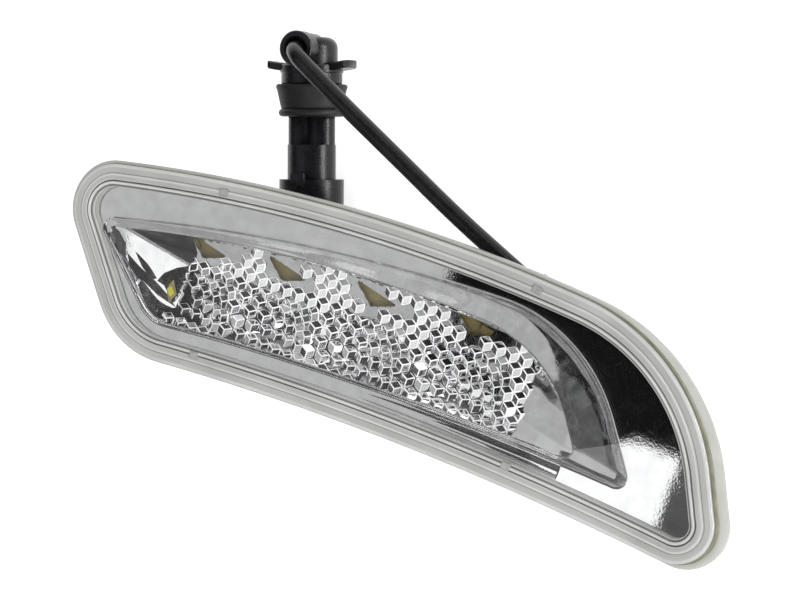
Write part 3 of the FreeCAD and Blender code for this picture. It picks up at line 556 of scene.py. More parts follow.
@dataclass
class LampLens:
    """Clear lens plate with a milky welded rim, a raised frame bead and a tongue below."""

    under: float = 41.0
    top: float = 43.4
    tongue_foot: float = 38.3
    window_inset: float = 9.2
    crease_angle: float = 50.0
    seal_inner: float = 1.3
    seal_outer: float = 0.75
    seal_lip: float = 0.9
    seal_lean: float = 0.3
    seal_middle: float = 0.6
    seal_depth: float = 1.0
    seal_edge: float = 0.35
    seal_fall: float = 0.15
    clip_places: tuple[Place, ...] = ((-74.4, 26.6), (47.0, 34.9), (-65.7, -32.0), (57.2, -24.6))
    clip_turns: tuple[float, ...] = (11.0, -7.0, 4.0, 2.0)
    clip_half: Place = (1.7, 1.3)
    clip_low: float = -0.5
    clip_high: float = 0.85
    clip_soft: float = 0.3

    def section(self) -> list[tuple[float, float, Band]]:
        """The rim's section from the window's top edge round to its underside.

        Returns:
            Inset, level and the finish of the band up to the next point.
        """
        top, under, foot, window = self.top, self.under, self.tongue_foot, self.window_inset
        milky, clear, dark, painted_underside_glow = Band.MILKY, Band.CLEAR, Band.DARK, Band.PAINTED_UNDERSIDE_GLOW
        # The clear bands are painted highlight on the beads' raised faces, the dark bands painted shade in
        # the grooves and on the outer wall, and the tongue's bands carry a painted glow.
        return [
            (window, top - 0.15, milky), (8.95, top - 0.2, dark), (8.75, top - 0.5, dark),
            (8.5, top - 0.5, dark), (8.4, top + 0.2, clear), (8.2, top + 0.6, clear),
            (7.85, top + 0.7, clear), (7.5, top + 0.6, milky), (7.3, top + 0.2, dark),
            (7.2, top - 0.45, dark), (6.95, top - 0.5, dark), (6.8, top + 0.1, clear),
            (6.5, top + 0.3, milky), (5.2, top + 0.35, clear), (4.6, top + 0.25, milky),
            (4.35, top, dark), (4.15, top - 0.12, milky), (3.9, top, milky), (2.2, top + 0.04, clear),
            (1.5, top - 0.15, clear), (1.15, top - 0.5, milky), (1.0, top - 1.0, dark),
            (1.0, under + 0.3, dark), (1.3, under, milky), (2.8, under, milky), (2.8, foot, milky),
            (4.8, foot, painted_underside_glow), (4.8, under, painted_underside_glow), (window, under, milky)]

    def build(self) -> None:
        """Makes the lens, its sealing line and its clips."""
        section = self.section()
        around = LENS_OUTLINE.around
        rings = [LENS_OUTLINE.ring(inset, level) for inset, level, _ in section]
        choice = [band for _, _, band in section[:-1] for _ in range(around)] + [Band.WINDOW] * 2
        # The rim's finish, its lighter copy as painted highlight, its darker copy as painted shade, the clear
        # window, and the underside with a painted glow.
        looks = [Look.RIM, Look.RIM_PAINTED_HIGHLIGHT, Look.RIM_PAINTED_SHADE, Look.CLEAR, Look.RIM_UNDER_PAINTED_GLOW]
        faces = loft_faces(len(rings), around, Ends.CAPPED)
        lens = piece_from("lens_plate", np.concatenate(rings), faces, looks, choice, self.crease_angle)
        for face in lens.data.polygons:
            face.use_smooth = face.material_index != Band.WINDOW
        settle(lens, "clear_lens", "lens")
        settle(self.sealing_line(), "sealant")
        settle(self.clips(), "clear_lens")

    def sealing_line(self) -> bpy.types.Object:
        """The sealant that shows beside the lens's edge, widest at the right end."""
        inner, edge = LENS_OUTLINE.ring(self.seal_inner, 0.0), LENS_OUTLINE.ring(self.seal_outer, 0.0)
        outer = edge * (1 - self.seal_lean) + LIP_OUTLINE.ring(self.seal_lip, 0.0) * self.seal_lean
        middle = inner * (1 - self.seal_middle) + outer * self.seal_middle
        low, high = self.under - self.seal_depth, self.under
        rings = [flat + (0.0, 0.0, level) for flat, level in (
            (inner, low), (outer, low), (outer, low + self.seal_edge), (middle, high - self.seal_fall),
            (inner, high))]
        faces = loft_faces(len(rings), LENS_OUTLINE.around, Ends.JOINED)
        return piece_from("sealing_line", np.concatenate(rings), faces, [Look.SEALANT])

    def clips(self) -> bpy.types.Object:
        """Four small moulded clips across the frame bead."""
        wide, deep = self.clip_half
        soft, high = self.clip_soft, self.clip_high
        levels = ((0.0, self.clip_low), (0.0, high - soft), (soft, high))
        points = [(x * (wide - cut), y * (deep - cut), z) for cut, z in levels
                  for x, y in ((-1, -1), (1, -1), (1, 1), (-1, 1))]
        unit = piece_from("clip_unit", points, loft_faces(len(levels), 4, Ends.CAPPED), [Look.CLIP])
        places = [(x, y, self.top) for x, y in self.clip_places]
        turns = [(0.0, 0.0, math.radians(angle)) for angle in self.clip_turns]
        return scattered("rim_clips", unit, places, turns)


# The bezel

def half_round(name: str, stations: Sequence[tuple[np.ndarray, np.ndarray, float, float]],
               around: int) -> bpy.types.Object:
    """A plated half-round bar.

    Args:
        name: the piece's name.
        stations: for each section its middle, its half width as a vector, its level and its height, mm.
        around: points in each section.

    Returns:
        The new piece.
    """
    crease_angle = 50.0
    points = [(*(middle + half * math.cos(turn)), level + height * math.sin(turn))
              for middle, half, level, height in stations for turn in np.linspace(0.0, math.pi, around)]
    faces = loft_faces(len(stations), around, Ends.CAPPED)
    return piece_from(name, points, faces, [Look.BEZEL], None, crease_angle)


@dataclass
class ChromeBezel:
    """Plated frame: a broad flat band, a rounded crease and a funnel with a swept step.

    Profiles give an inset from their outline and a drop below the level they start from.
    """

    ledge: float = 37.0
    top: float = 39.5
    foot: float = 27.0
    wall: float = 1.5
    rim_inset: float = 6.6
    under_inset: float = 2.0
    under_drop: float = 0.6
    crease_angle: float = 60.0
    rim_profile: tuple[Place, ...] = ((0.0, 0.4), (0.15, 0.1), (0.4, 0.0), (0.7, 0.0))
    crease_profile: tuple[Place, ...] = ((-0.9, 0.0), (-0.6, 0.0), (-0.25, 0.03), (0.0, 0.12), (0.2, 0.3))
    step_profile: tuple[Place, ...] = ((-0.4, 0.0), (0.0, 0.15), (0.3, 0.6), (0.45, 1.2))
    step_levels: tuple[Place, ...] = (
        (-116.0, 38.6), (-95.0, 38.2), (-60.0, 37.6), (-25.0, 37.1), (5.0, 36.5), (20.0, 35.8), (35.0, 34.6),
        (48.0, 33.2), (60.0, 32.3), (78.0, 32.0))
    funnel_shares: tuple[float, ...] = (0.2, 0.4, 0.6, 0.8)
    funnel_bow: float = 0.75
    bowl_shares: tuple[float, ...] = (0.25, 0.5, 0.75, 1.0)
    bowl_bow: float = 1.6
    rib_start: float = -10.0
    rib_end: float = 74.0
    rib_run: float = 60.0
    rib_half: float = 2.9
    rib_narrow: float = 0.4
    rib_high: float = 1.25
    rib_first: float = 0.04
    rib_sink: float = 0.2
    rib_steps: int = 40
    rib_around: int = 15

    def rings(self) -> list[Ring]:
        """Rings from the band's outer edge, over the crease and down the funnel, then back underneath."""
        lens, foot = LENS_OUTLINE, FOOT_OUTLINE.ring(0.0, self.foot)
        rim = [lens.ring(self.rim_inset + inset, self.top - drop) for inset, drop in self.rim_profile]
        crease = [CREASE_OUTLINE.ring(inset, self.top - drop) for inset, drop in self.crease_profile]
        step = [self.swept(STEP_OUTLINE.ring(inset, -drop)) for inset, drop in self.step_profile]
        funnel = [self.bowed(crease[-1], step[0], share, self.funnel_bow) for share in self.funnel_shares]
        bowl = [self.bowed(step[-1], foot, share, self.bowl_bow) for share in self.bowl_shares]
        under = [FOOT_OUTLINE.ring(-self.wall, self.foot),
                 self.swept(STEP_OUTLINE.ring(-self.wall, -self.wall)),
                 CREASE_OUTLINE.ring(-self.wall, self.top - self.wall - self.under_drop),
                 lens.ring(self.rim_inset + self.under_inset, self.ledge)]
        return [lens.ring(self.rim_inset, self.ledge), *rim, *crease, *funnel, *step, *bowl, *under]

    def swept(self, ring: Ring) -> Ring:
        """Lifts a ring to the step's level, which falls towards the right end."""
        places, levels = zip(*self.step_levels)
        return ring + np.column_stack([np.zeros((len(ring), 2)), np.interp(ring[:, 0], places, levels)])

    @staticmethod
    def bowed(high: Ring, low: Ring, share: float, power: float) -> Ring:
        """A ring between two others whose fall follows a bow."""
        flat = high * (1 - share) + low * share
        flat[:, 2] = high[:, 2] + (low[:, 2] - high[:, 2]) * share**power
        return flat

    def build(self) -> None:
        """Makes the bezel and its rib."""
        rings = self.rings()
        faces = loft_faces(len(rings), LENS_OUTLINE.around, Ends.JOINED)
        bezel = piece_from("bezel_frame", np.concatenate(rings), faces, [Look.BEZEL], None, self.crease_angle)
        settle(bezel, "bright_chrome", "bezel")
        settle(self.rib(), "bright_chrome")

    def rib(self) -> bpy.types.Object:
        """The half-round rib below the opening, which rises to the right and ends in a cut face."""
        edge = CREASE_OUTLINE.ring(-self.rib_half, 0.0)[:CREASE_OUTLINE.samples[0]]
        stations = []
        for x in np.linspace(self.rib_start, self.rib_end, self.rib_steps):
            rise = min(1.0, (x - self.rib_start) / self.rib_run + self.rib_first)
            half = self.rib_half * (self.rib_narrow + (1 - self.rib_narrow) * rise)
            stations.append((np.array([x, np.interp(x, edge[:, 0], edge[:, 1])]), np.array([0.0, -half]),
                             self.top - self.rib_sink, (self.rib_high + self.rib_sink) * rise))
        return half_round("lower_rib", stations, self.rib_around)


# The reflector

@dataclass(frozen=True)
class Plate:
    """A flat plated face of the left pocket: a point on it, its rise along X and Y, and its outline."""

    through: Point
    rise: Place
    outline: tuple[Place, ...]

    def level(self, x: float, y: float) -> float:
        """Level of the plate at a point, mm."""
        return self.through[2] + self.rise[0] * (x - self.through[0]) + self.rise[1] * (y - self.through[1])


BROAD_PLATES = (
    Plate((-88.0, -10.0, 28.5), (-0.35, 0.1), (
        (-114.7, -1.0), (-102.1, -21.1), (-92.7, -24.5), (-86.5, -22.0), (-85.7, -16.5), (-85.7, -9.9),
        (-85.8, -5.0), (-112.6, 0.5))),
    Plate((-112.0, 1.3, 38.0), (-0.45, -0.35), ((-112.0, 1.3), (-85.4, -4.6), (-85.1, 0.0), (-88.6, 4.7))))
LEAF_PLATES = (
    Plate((-90.0, -13.0, 30.1), (-0.27, -0.05), (
        (-93.3, -10.9), (-94.7, -14.3), (-91.7, -15.1), (-87.0, -20.0), (-85.8, -15.9), (-85.7, -9.9),
        (-85.8, -5.4), (-89.7, -7.6))),
    Plate((-100.0, -10.8, 33.0), (-0.53, -0.2), (
        (-105.1, -6.8), (-101.1, -11.3), (-96.9, -14.5), (-95.4, -13.8), (-97.8, -11.3), (-102.4, -7.6))),
    Plate((-97.5, -15.4, 31.8), (-0.535, -0.197), (
        (-107.6, -8.3), (-103.5, -15.5), (-99.4, -16.1), (-93.4, -19.4), (-86.6, -21.6), (-92.1, -15.8),
        (-95.2, -14.9), (-102.2, -11.7))),
    Plate((-107.6, -9.4, 36.0), (-0.654, -0.096), (
        (-115.1, -0.6), (-102.5, -20.6), (-101.8, -20.0), (-107.8, -9.6), (-108.9, -5.2), (-112.1, -1.6))))


@dataclass
class FacetReflector:
    """Cube-corner facets on four hollow cells, with a window over each light."""

    side: float = 3.0
    relief: float = 0.8
    depth: float = 8.0
    shelf: float = 27.0
    thick: float = 1.4
    skirt: float = 3.2
    edge_round: float = 0.26
    first_light: Place = (-83.0, 2.0)
    slope: float = math.radians(5.66)
    pitches: tuple[float, ...] = (33.0, 36.0, 39.0)
    board_half: float = 6.0
    shelf_clear: float = 1.0
    grid: float = 0.6
    window_corners: tuple[Place, ...] = ((-7.5, 4.3), (-5.8, 2.3), (0.8, -2.9), (10.6, 0.8))
    window_rim: float = 2.25
    pocket_edge: tuple[Place, ...] = (
        (-116.0, 3.0), (-88.6, 6.2), (-85.6, 0.0), (-86.2, -16.5), (-86.9, -21.6), (-93.0, -23.6),
        (-103.5, -20.6))
    plate_thick: float = 2.0
    plate_crease: float = 10.0
    ridge_ends: tuple[Place, Place] = ((-112.3, 1.0), (-85.6, -4.8))
    ridge_half: float = 0.6
    ridge_high: float = 0.7
    ridge_sink: float = 0.4
    ridge_steps: int = 25
    ridge_around: int = 9
    # Place and shape of the painted reflection of a light in the pocket.
    side_place: Place = (-88.6, -16.2)
    side_corners: tuple[Place, ...] = ((0.25, -1.0), (1.0, -0.1), (-0.25, 1.0), (-1.0, 0.1))
    side_soft: float = 0.2
    side_taper: float = 0.85
    facet_margin: float = 1.0
    tilt_step: float = 0.4
    tilt_limit: float = 0.36
    sheet_reach: float = 1.5
    sheet_margin: float = 0.9
    sheet_drop: float = 0.8
    sheet_crease: float = 40.0
    snap: float = 0.55
    top_share: float = 1.6

    def __post_init__(self) -> None:
        """Works out the lights' places and the cells' edges."""
        steps = np.concatenate([[0.0], np.cumsum(self.pitches)])
        way = np.array([math.cos(self.slope), math.sin(self.slope)])
        self.lights = np.array(self.first_light) + steps[:, None] * way
        xs = self.lights[:, 0]
        self.edges = np.concatenate([[xs[0] - self.pitches[0] / 2], (xs[1:] + xs[:-1]) / 2])
        self.edges = np.append(self.edges, 2 * xs[-1] - self.edges[-1])
        self.opening = FOOT_OUTLINE.ring(0.0, 0.0)[:, :2]

    def across(self, x: float) -> Optional[tuple[float, float]]:
        """Lowest and highest y of the opening at one x, or None beside it."""
        start, end = self.opening, np.roll(self.opening, -1, 0)
        hit = (np.minimum(start[:, 0], end[:, 0]) <= x) & (x <= np.maximum(start[:, 0], end[:, 0]))
        hit &= start[:, 0] != end[:, 0]
        if not hit.any():
            return None
        share = (x - start[hit, 0]) / (end[hit, 0] - start[hit, 0])
        found = start[hit, 1] + (end[hit, 1] - start[hit, 1]) * share
        return float(found.min()), float(found.max())

    def hollow(self, x: float, y: float) -> float:
        """How deep the cells lie below the shelf at a point, from 0 to 1."""
        span = self.across(x)
        if span is None:
            return 0.0
        line = self.first_light[1] + (x - self.first_light[0]) * math.tan(self.slope)
        low, high = span[0], min(span[1], line - self.board_half - self.shelf_clear)
        for left, right in zip(self.edges, self.edges[1:]):
            if left < x < right and low < y < high:
                u = (2 * x - left - right) / (right - left)
                v = (2 * y - low - high) / (high - low)
                return (1 - u * u) * (1 - v * v)
        return 0.0

    def level(self, x: float, y: float) -> float:
        """Level of the cells' smooth surface at a point, mm."""
        return self.shelf - self.depth * self.hollow(x, y)

    def window_gap(self, x: float, y: float) -> tuple[float, np.ndarray]:
        """Distance of a point from the nearest window's edge, below 0 inside it, and the way out."""
        best, out = 1e9, np.zeros(2)
        for light in self.lights:
            corners = light + np.array(self.window_corners)
            sides = np.roll(corners, -1, 0) - corners
            normals = np.stack([sides[:, 1], -sides[:, 0]], 1) / np.linalg.norm(sides, axis=1)[:, None]
            gaps = np.sum((np.array([x, y]) - corners) * normals, 1)
            if gaps.max() < best:
                best, out = float(gaps.max()), normals[gaps.argmax()]
        return best, out

    def inside(self, x: float, y: float, margin: float) -> bool:
        """Whether a point lies in the opening or within a margin of it."""
        gap = np.hypot(self.opening[:, 0] - x, self.opening[:, 1] - y).min()
        span = self.across(x)
        return gap < margin or (span is not None and span[0] < y < span[1])

    def unit(self) -> bpy.types.Object:
        """One cube corner with rounded edges and a short skirt, about the origin; its rounded edges carry a
        painted highlight.
        """
        turns = [math.radians(60 * step) for step in range(6)]
        points = [(0.0, 0.0, self.relief)]
        points += [(math.sin(t) * self.side, math.cos(t) * self.side, 0.0 if step % 2 else -self.relief)
                   for step, t in enumerate(turns)]
        points += [(x, y, z - self.skirt) for x, y, z in points[1:]]
        faces = [[0, 2, 1, 6], [0, 4, 3, 2], [0, 6, 5, 4]]
        faces += [[1 + step, 1 + (step + 1) % 6, 7 + (step + 1) % 6, 7 + step] for step in range(6)]
        made = piece_from("facet_unit", points, faces, [Look.FACETS, Look.EDGES])
        lowest = -self.top_share * self.relief * MM
        with editing(made.data) as work:
            top = [edge for edge in work.edges if all(v.co.z > lowest for v in edge.verts)]
            bevel = bmesh.ops.bevel(work, geom=top, offset=self.edge_round * MM, segments=1, profile=0.5,
                                    affect="EDGES")
            # The rounded edges take the second finish, a painted highlight.
            for face in bevel["faces"]:
                face.material_index = 1
        made.data.shade_flat()
        return made

    def sites(self) -> tuple[list[Point], list[Point]]:
        """Places of the cube corners and the turns that lay them on the cells.

        Returns:
            The places, mm, and the turns, as Euler angles.
        """
        wide, high = self.side * math.sqrt(3), self.side * 1.5
        low_x, low_y = self.opening.min(0)
        top_x, top_y = self.opening.max(0)
        places, turns, step = [], [], self.tilt_step
        for row in range(math.floor(low_y / high), math.ceil(top_y / high) + 1):
            for column in range(math.floor(low_x / wide), math.ceil(top_x / wide) + 1):
                x, y = (column + (0.5 if row % 2 else 0.0)) * wide, row * high
                if (not self.inside(x, y, self.facet_margin) or self.in_pocket(x, y)
                        or self.window_gap(x, y)[0] < self.window_rim):
                    continue
                tilt_x = (self.level(x + step, y) - self.level(x - step, y)) / (2 * step)
                tilt_y = (self.level(x, y + step) - self.level(x, y - step)) / (2 * step)
                tilt_x, tilt_y = np.clip((tilt_x, tilt_y), -self.tilt_limit, self.tilt_limit)
                places.append((x, y, self.level(x, y)))
                turns.append((math.atan(tilt_y), -math.atan(tilt_x), 0.0))
        return places, turns

    def facets(self) -> bpy.types.Object:
        """The sheet of cube corners as one plain mesh."""
        places, turns = self.sites()
        return scattered("reflector_facets", self.unit(), places, turns)

    def backing(self) -> bpy.types.Object:
        """The smooth plated sheet under the facets, open at the windows."""
        low_x, low_y = self.opening.min(0) - self.sheet_reach
        top_x, top_y = self.opening.max(0) + self.sheet_reach
        xs = np.arange(low_x, top_x + self.grid, self.grid)
        ys = np.arange(low_y, top_y + self.grid, self.grid)
        points, keep = [], np.zeros((len(xs), len(ys)), bool)
        for i, x in enumerate(xs):
            for j, y in enumerate(ys):
                gap, out = self.window_gap(x, y)
                if abs(gap) < self.grid * self.snap:
                    x_on, y_on = np.array([x, y]) - out * gap
                    gap = 0.0
                else:
                    x_on, y_on = x, y
                keep[i, j] = gap >= 0.0 and self.inside(x, y, self.sheet_margin)
                points.append((x_on, y_on, self.level(x, y) - self.sheet_drop))
        points += [(x, y, z - self.thick) for x, y, z in points]
        tall, under = len(ys), len(xs) * len(ys)
        faces = []
        solid = keep[:-1, :-1] & keep[1:, :-1] & keep[:-1, 1:] & keep[1:, 1:]
        for i, j in zip(*np.nonzero(solid)):
            corner = [i * tall + j, (i + 1) * tall + j, (i + 1) * tall + j + 1, i * tall + j + 1]
            faces += [corner, [number + under for number in corner[::-1]]]
            beside = [(i, j - 1), (i + 1, j), (i, j + 1), (i - 1, j)]
            for step, (a, b) in enumerate(beside):
                if not (0 <= a < solid.shape[0] and 0 <= b < solid.shape[1] and solid[a, b]):
                    one, two = corner[step], corner[(step + 1) % 4]
                    faces.append([two, one, one + under, two + under])
        made = piece_from("reflector_sheet", points, faces, [Look.FACETS], None, self.sheet_crease)
        with editing(made.data) as work:
            bmesh.ops.delete(work, geom=[v for v in work.verts if not v.link_faces], context="VERTS")
        return made

    def build(self) -> None:
        """Makes the reflector and what stands in its left pocket."""
        settle(self.facets(), "bright_chrome")
        settle(self.backing(), "bright_chrome", "reflector")
        settle(self.plates("corner_plates", BROAD_PLATES), "bright_chrome")
        settle(self.plates("corner_leaves", LEAF_PLATES), "bright_chrome")
        settle(self.ridge(), "bright_chrome")
        # Painted reflection of a light in the pocket: a dark frame with a yellow chip on the plate.
        settle(self.painted_glint_block("side_frame", Look.BOARD, (2.2, 4.2), -1.0, 0.5), "black_mould")
        settle(self.painted_glint_block("side_chip", Look.PHOSPHOR, (1.6, 2.0), 0.2, 0.9), "led_yellow")

    def in_pocket(self, x: float, y: float) -> bool:
        """Whether a point lies in the plated pocket at the left end."""
        inside = False
        for (x1, y1), (x2, y2) in zip(self.pocket_edge, self.pocket_edge[1:] + self.pocket_edge[:1]):
            if (y1 > y) != (y2 > y) and x < x1 + (y - y1) / (y2 - y1) * (x2 - x1):
                inside = not inside
        return inside

    def plates(self, name: str, plates: Sequence[Plate]) -> bpy.types.Object:
        """One piece of the pocket's flat plates, each a thin prism."""
        points, faces = [], []
        for plate in plates:
            base, count = len(points), len(plate.outline)
            top = [(x, y, plate.level(x, y)) for x, y in plate.outline]
            points += top + [(x, y, z - self.plate_thick) for x, y, z in top]
            faces += [[base + n for n in range(count)], [base + count + n for n in reversed(range(count))]]
            faces += [[base + n, base + count + n, base + count + (n + 1) % count, base + (n + 1) % count]
                      for n in range(count)]
        return piece_from(name, points, faces, [Look.BEZEL], None, self.plate_crease)

    def ridge(self) -> bpy.types.Object:
        """The long rounded ridge between the pocket's dark and bright plates."""
        start, end = (np.array(place) for place in self.ridge_ends)
        side = np.array([start[1] - end[1], end[0] - start[0]]) / np.linalg.norm(end - start)
        places = [start + (end - start) * share for share in np.linspace(0.0, 1.0, self.ridge_steps)]
        stations = [(place, side * self.ridge_half, BROAD_PLATES[0].level(*place) - self.ridge_sink,
                     self.ridge_high + self.ridge_sink) for place in places]
        return half_round("corner_ridge", stations, self.ridge_around)

    def painted_glint_block(self, name: str, look: Look, half: Place, low: float, high: float) -> bpy.types.Object:
        """One block of a painted reflection of a light, a yellow chip in a dark frame, on the pocket's plate
        beside the facets.

        Args:
            name: the piece's name.
            look: its finish.
            half: its half sizes along X and Y, mm.
            low: its foot over the plate, mm.
            high: its top over the plate, mm.

        Returns:
            The new piece.
        """
        level = LEAF_PLATES[0].level(*self.side_place)
        levels = ((1.0, low), (1.0, high - self.side_soft), (self.side_taper, high))
        (mid_x, mid_y), (wide, tall) = self.side_place, half
        points = [(mid_x + x * wide * scale, mid_y + y * tall * scale, level + z)
                  for scale, z in levels for x, y in self.side_corners]
        return piece_from(name, points, loft_faces(len(levels), len(self.side_corners), Ends.CAPPED), [look])


# Repeated shapes

def scatter_tree(unit: bpy.types.Object) -> bpy.types.NodeTree:
    """Geometry nodes that set one shape on every point, turned as the point's "lay" says.

    Args:
        unit: the shape.

    Returns:
        The node group.
    """
    tree = bpy.data.node_groups.new(f"{unit.name}_spread", "GeometryNodeTree")
    tree.interface.new_socket("Geometry", in_out="INPUT", socket_type="NodeSocketGeometry")
    tree.interface.new_socket("Unit Size", in_out="INPUT", socket_type="NodeSocketFloat")
    tree.interface.new_socket("Geometry", in_out="OUTPUT", socket_type="NodeSocketGeometry")
    add = tree.nodes.new
    start, end = add("NodeGroupInput"), add("NodeGroupOutput")
    shape, spread = add("GeometryNodeObjectInfo"), add("GeometryNodeInstanceOnPoints")
    turn, plain = add("GeometryNodeInputNamedAttribute"), add("GeometryNodeRealizeInstances")
    euler = add("FunctionNodeEulerToRotation")
    turn.data_type = "FLOAT_VECTOR"
    turn.inputs["Name"].default_value = "lay"
    shape.inputs["Object"].default_value = unit
    link = tree.links.new
    link(start.outputs["Geometry"], spread.inputs["Points"])
    link(shape.outputs["Geometry"], spread.inputs["Instance"])
    link(turn.outputs["Attribute"], euler.inputs["Euler"])
    link(euler.outputs["Rotation"], spread.inputs["Rotation"])
    link(start.outputs["Unit Size"], spread.inputs["Scale"])
    link(spread.outputs["Instances"], plain.inputs["Geometry"])
    last = plain.outputs["Geometry"]
    for number, material in enumerate(unit.data.materials):
        dress, which = add("GeometryNodeSetMaterial"), add("GeometryNodeInputMaterialIndex")
        same = add("FunctionNodeCompare")
        same.data_type, same.operation = "INT", "EQUAL"
        same.inputs["B"].default_value = number
        dress.inputs["Material"].default_value = material
        link(which.outputs["Material Index"], next(s for s in same.inputs if s.name == "A" and s.enabled))
        link(same.outputs["Result"], dress.inputs["Selection"])
        link(last, dress.inputs["Geometry"])
        last = dress.outputs["Geometry"]
    link(last, end.inputs["Geometry"])
    return tree


def scattered(name: str, unit: bpy.types.Object, places: Sequence[Point],
              turns: Sequence[Point]) -> bpy.types.Object:
    """One plain mesh of a shape set on many places.

    Args:
        name: the new piece's name.
        unit: the shape, which is used up.
        places: where it goes, mm.
        turns: how it is turned there, Euler angles.

    Returns:
        The new piece.
    """
    mesh = bpy.data.meshes.new(f"{name}_places")
    mesh.from_pydata([tuple(c * MM for c in place) for place in places], [], [])
    lay = mesh.attributes.new("lay", "FLOAT_VECTOR", "POINT")
    lay.data.foreach_set("vector", np.array(turns, np.float32).ravel())
    carrier = linked(f"{name}_places", mesh)
    nodes = carrier.modifiers.new("spread", "NODES")
    nodes.node_group = scatter_tree(unit)
    sized = next(item for item in nodes.node_group.interface.items_tree if item.name == "Unit Size")
    nodes[sized.identifier] = 1.0
    bpy.context.view_layer.update()
    made = baked(carrier, name)
    for scrap in (carrier, unit):
        bpy.data.objects.remove(scrap)
    return made


def baked(source: bpy.types.Object, name: str) -> bpy.types.Object:
    """A plain mesh object of what a source's modifiers give."""
    seen = source.evaluated_get(bpy.context.evaluated_depsgraph_get())
    mesh = bpy.data.meshes.new_from_object(seen)
    mesh.name = name
    return linked(name, mesh)


# The plug

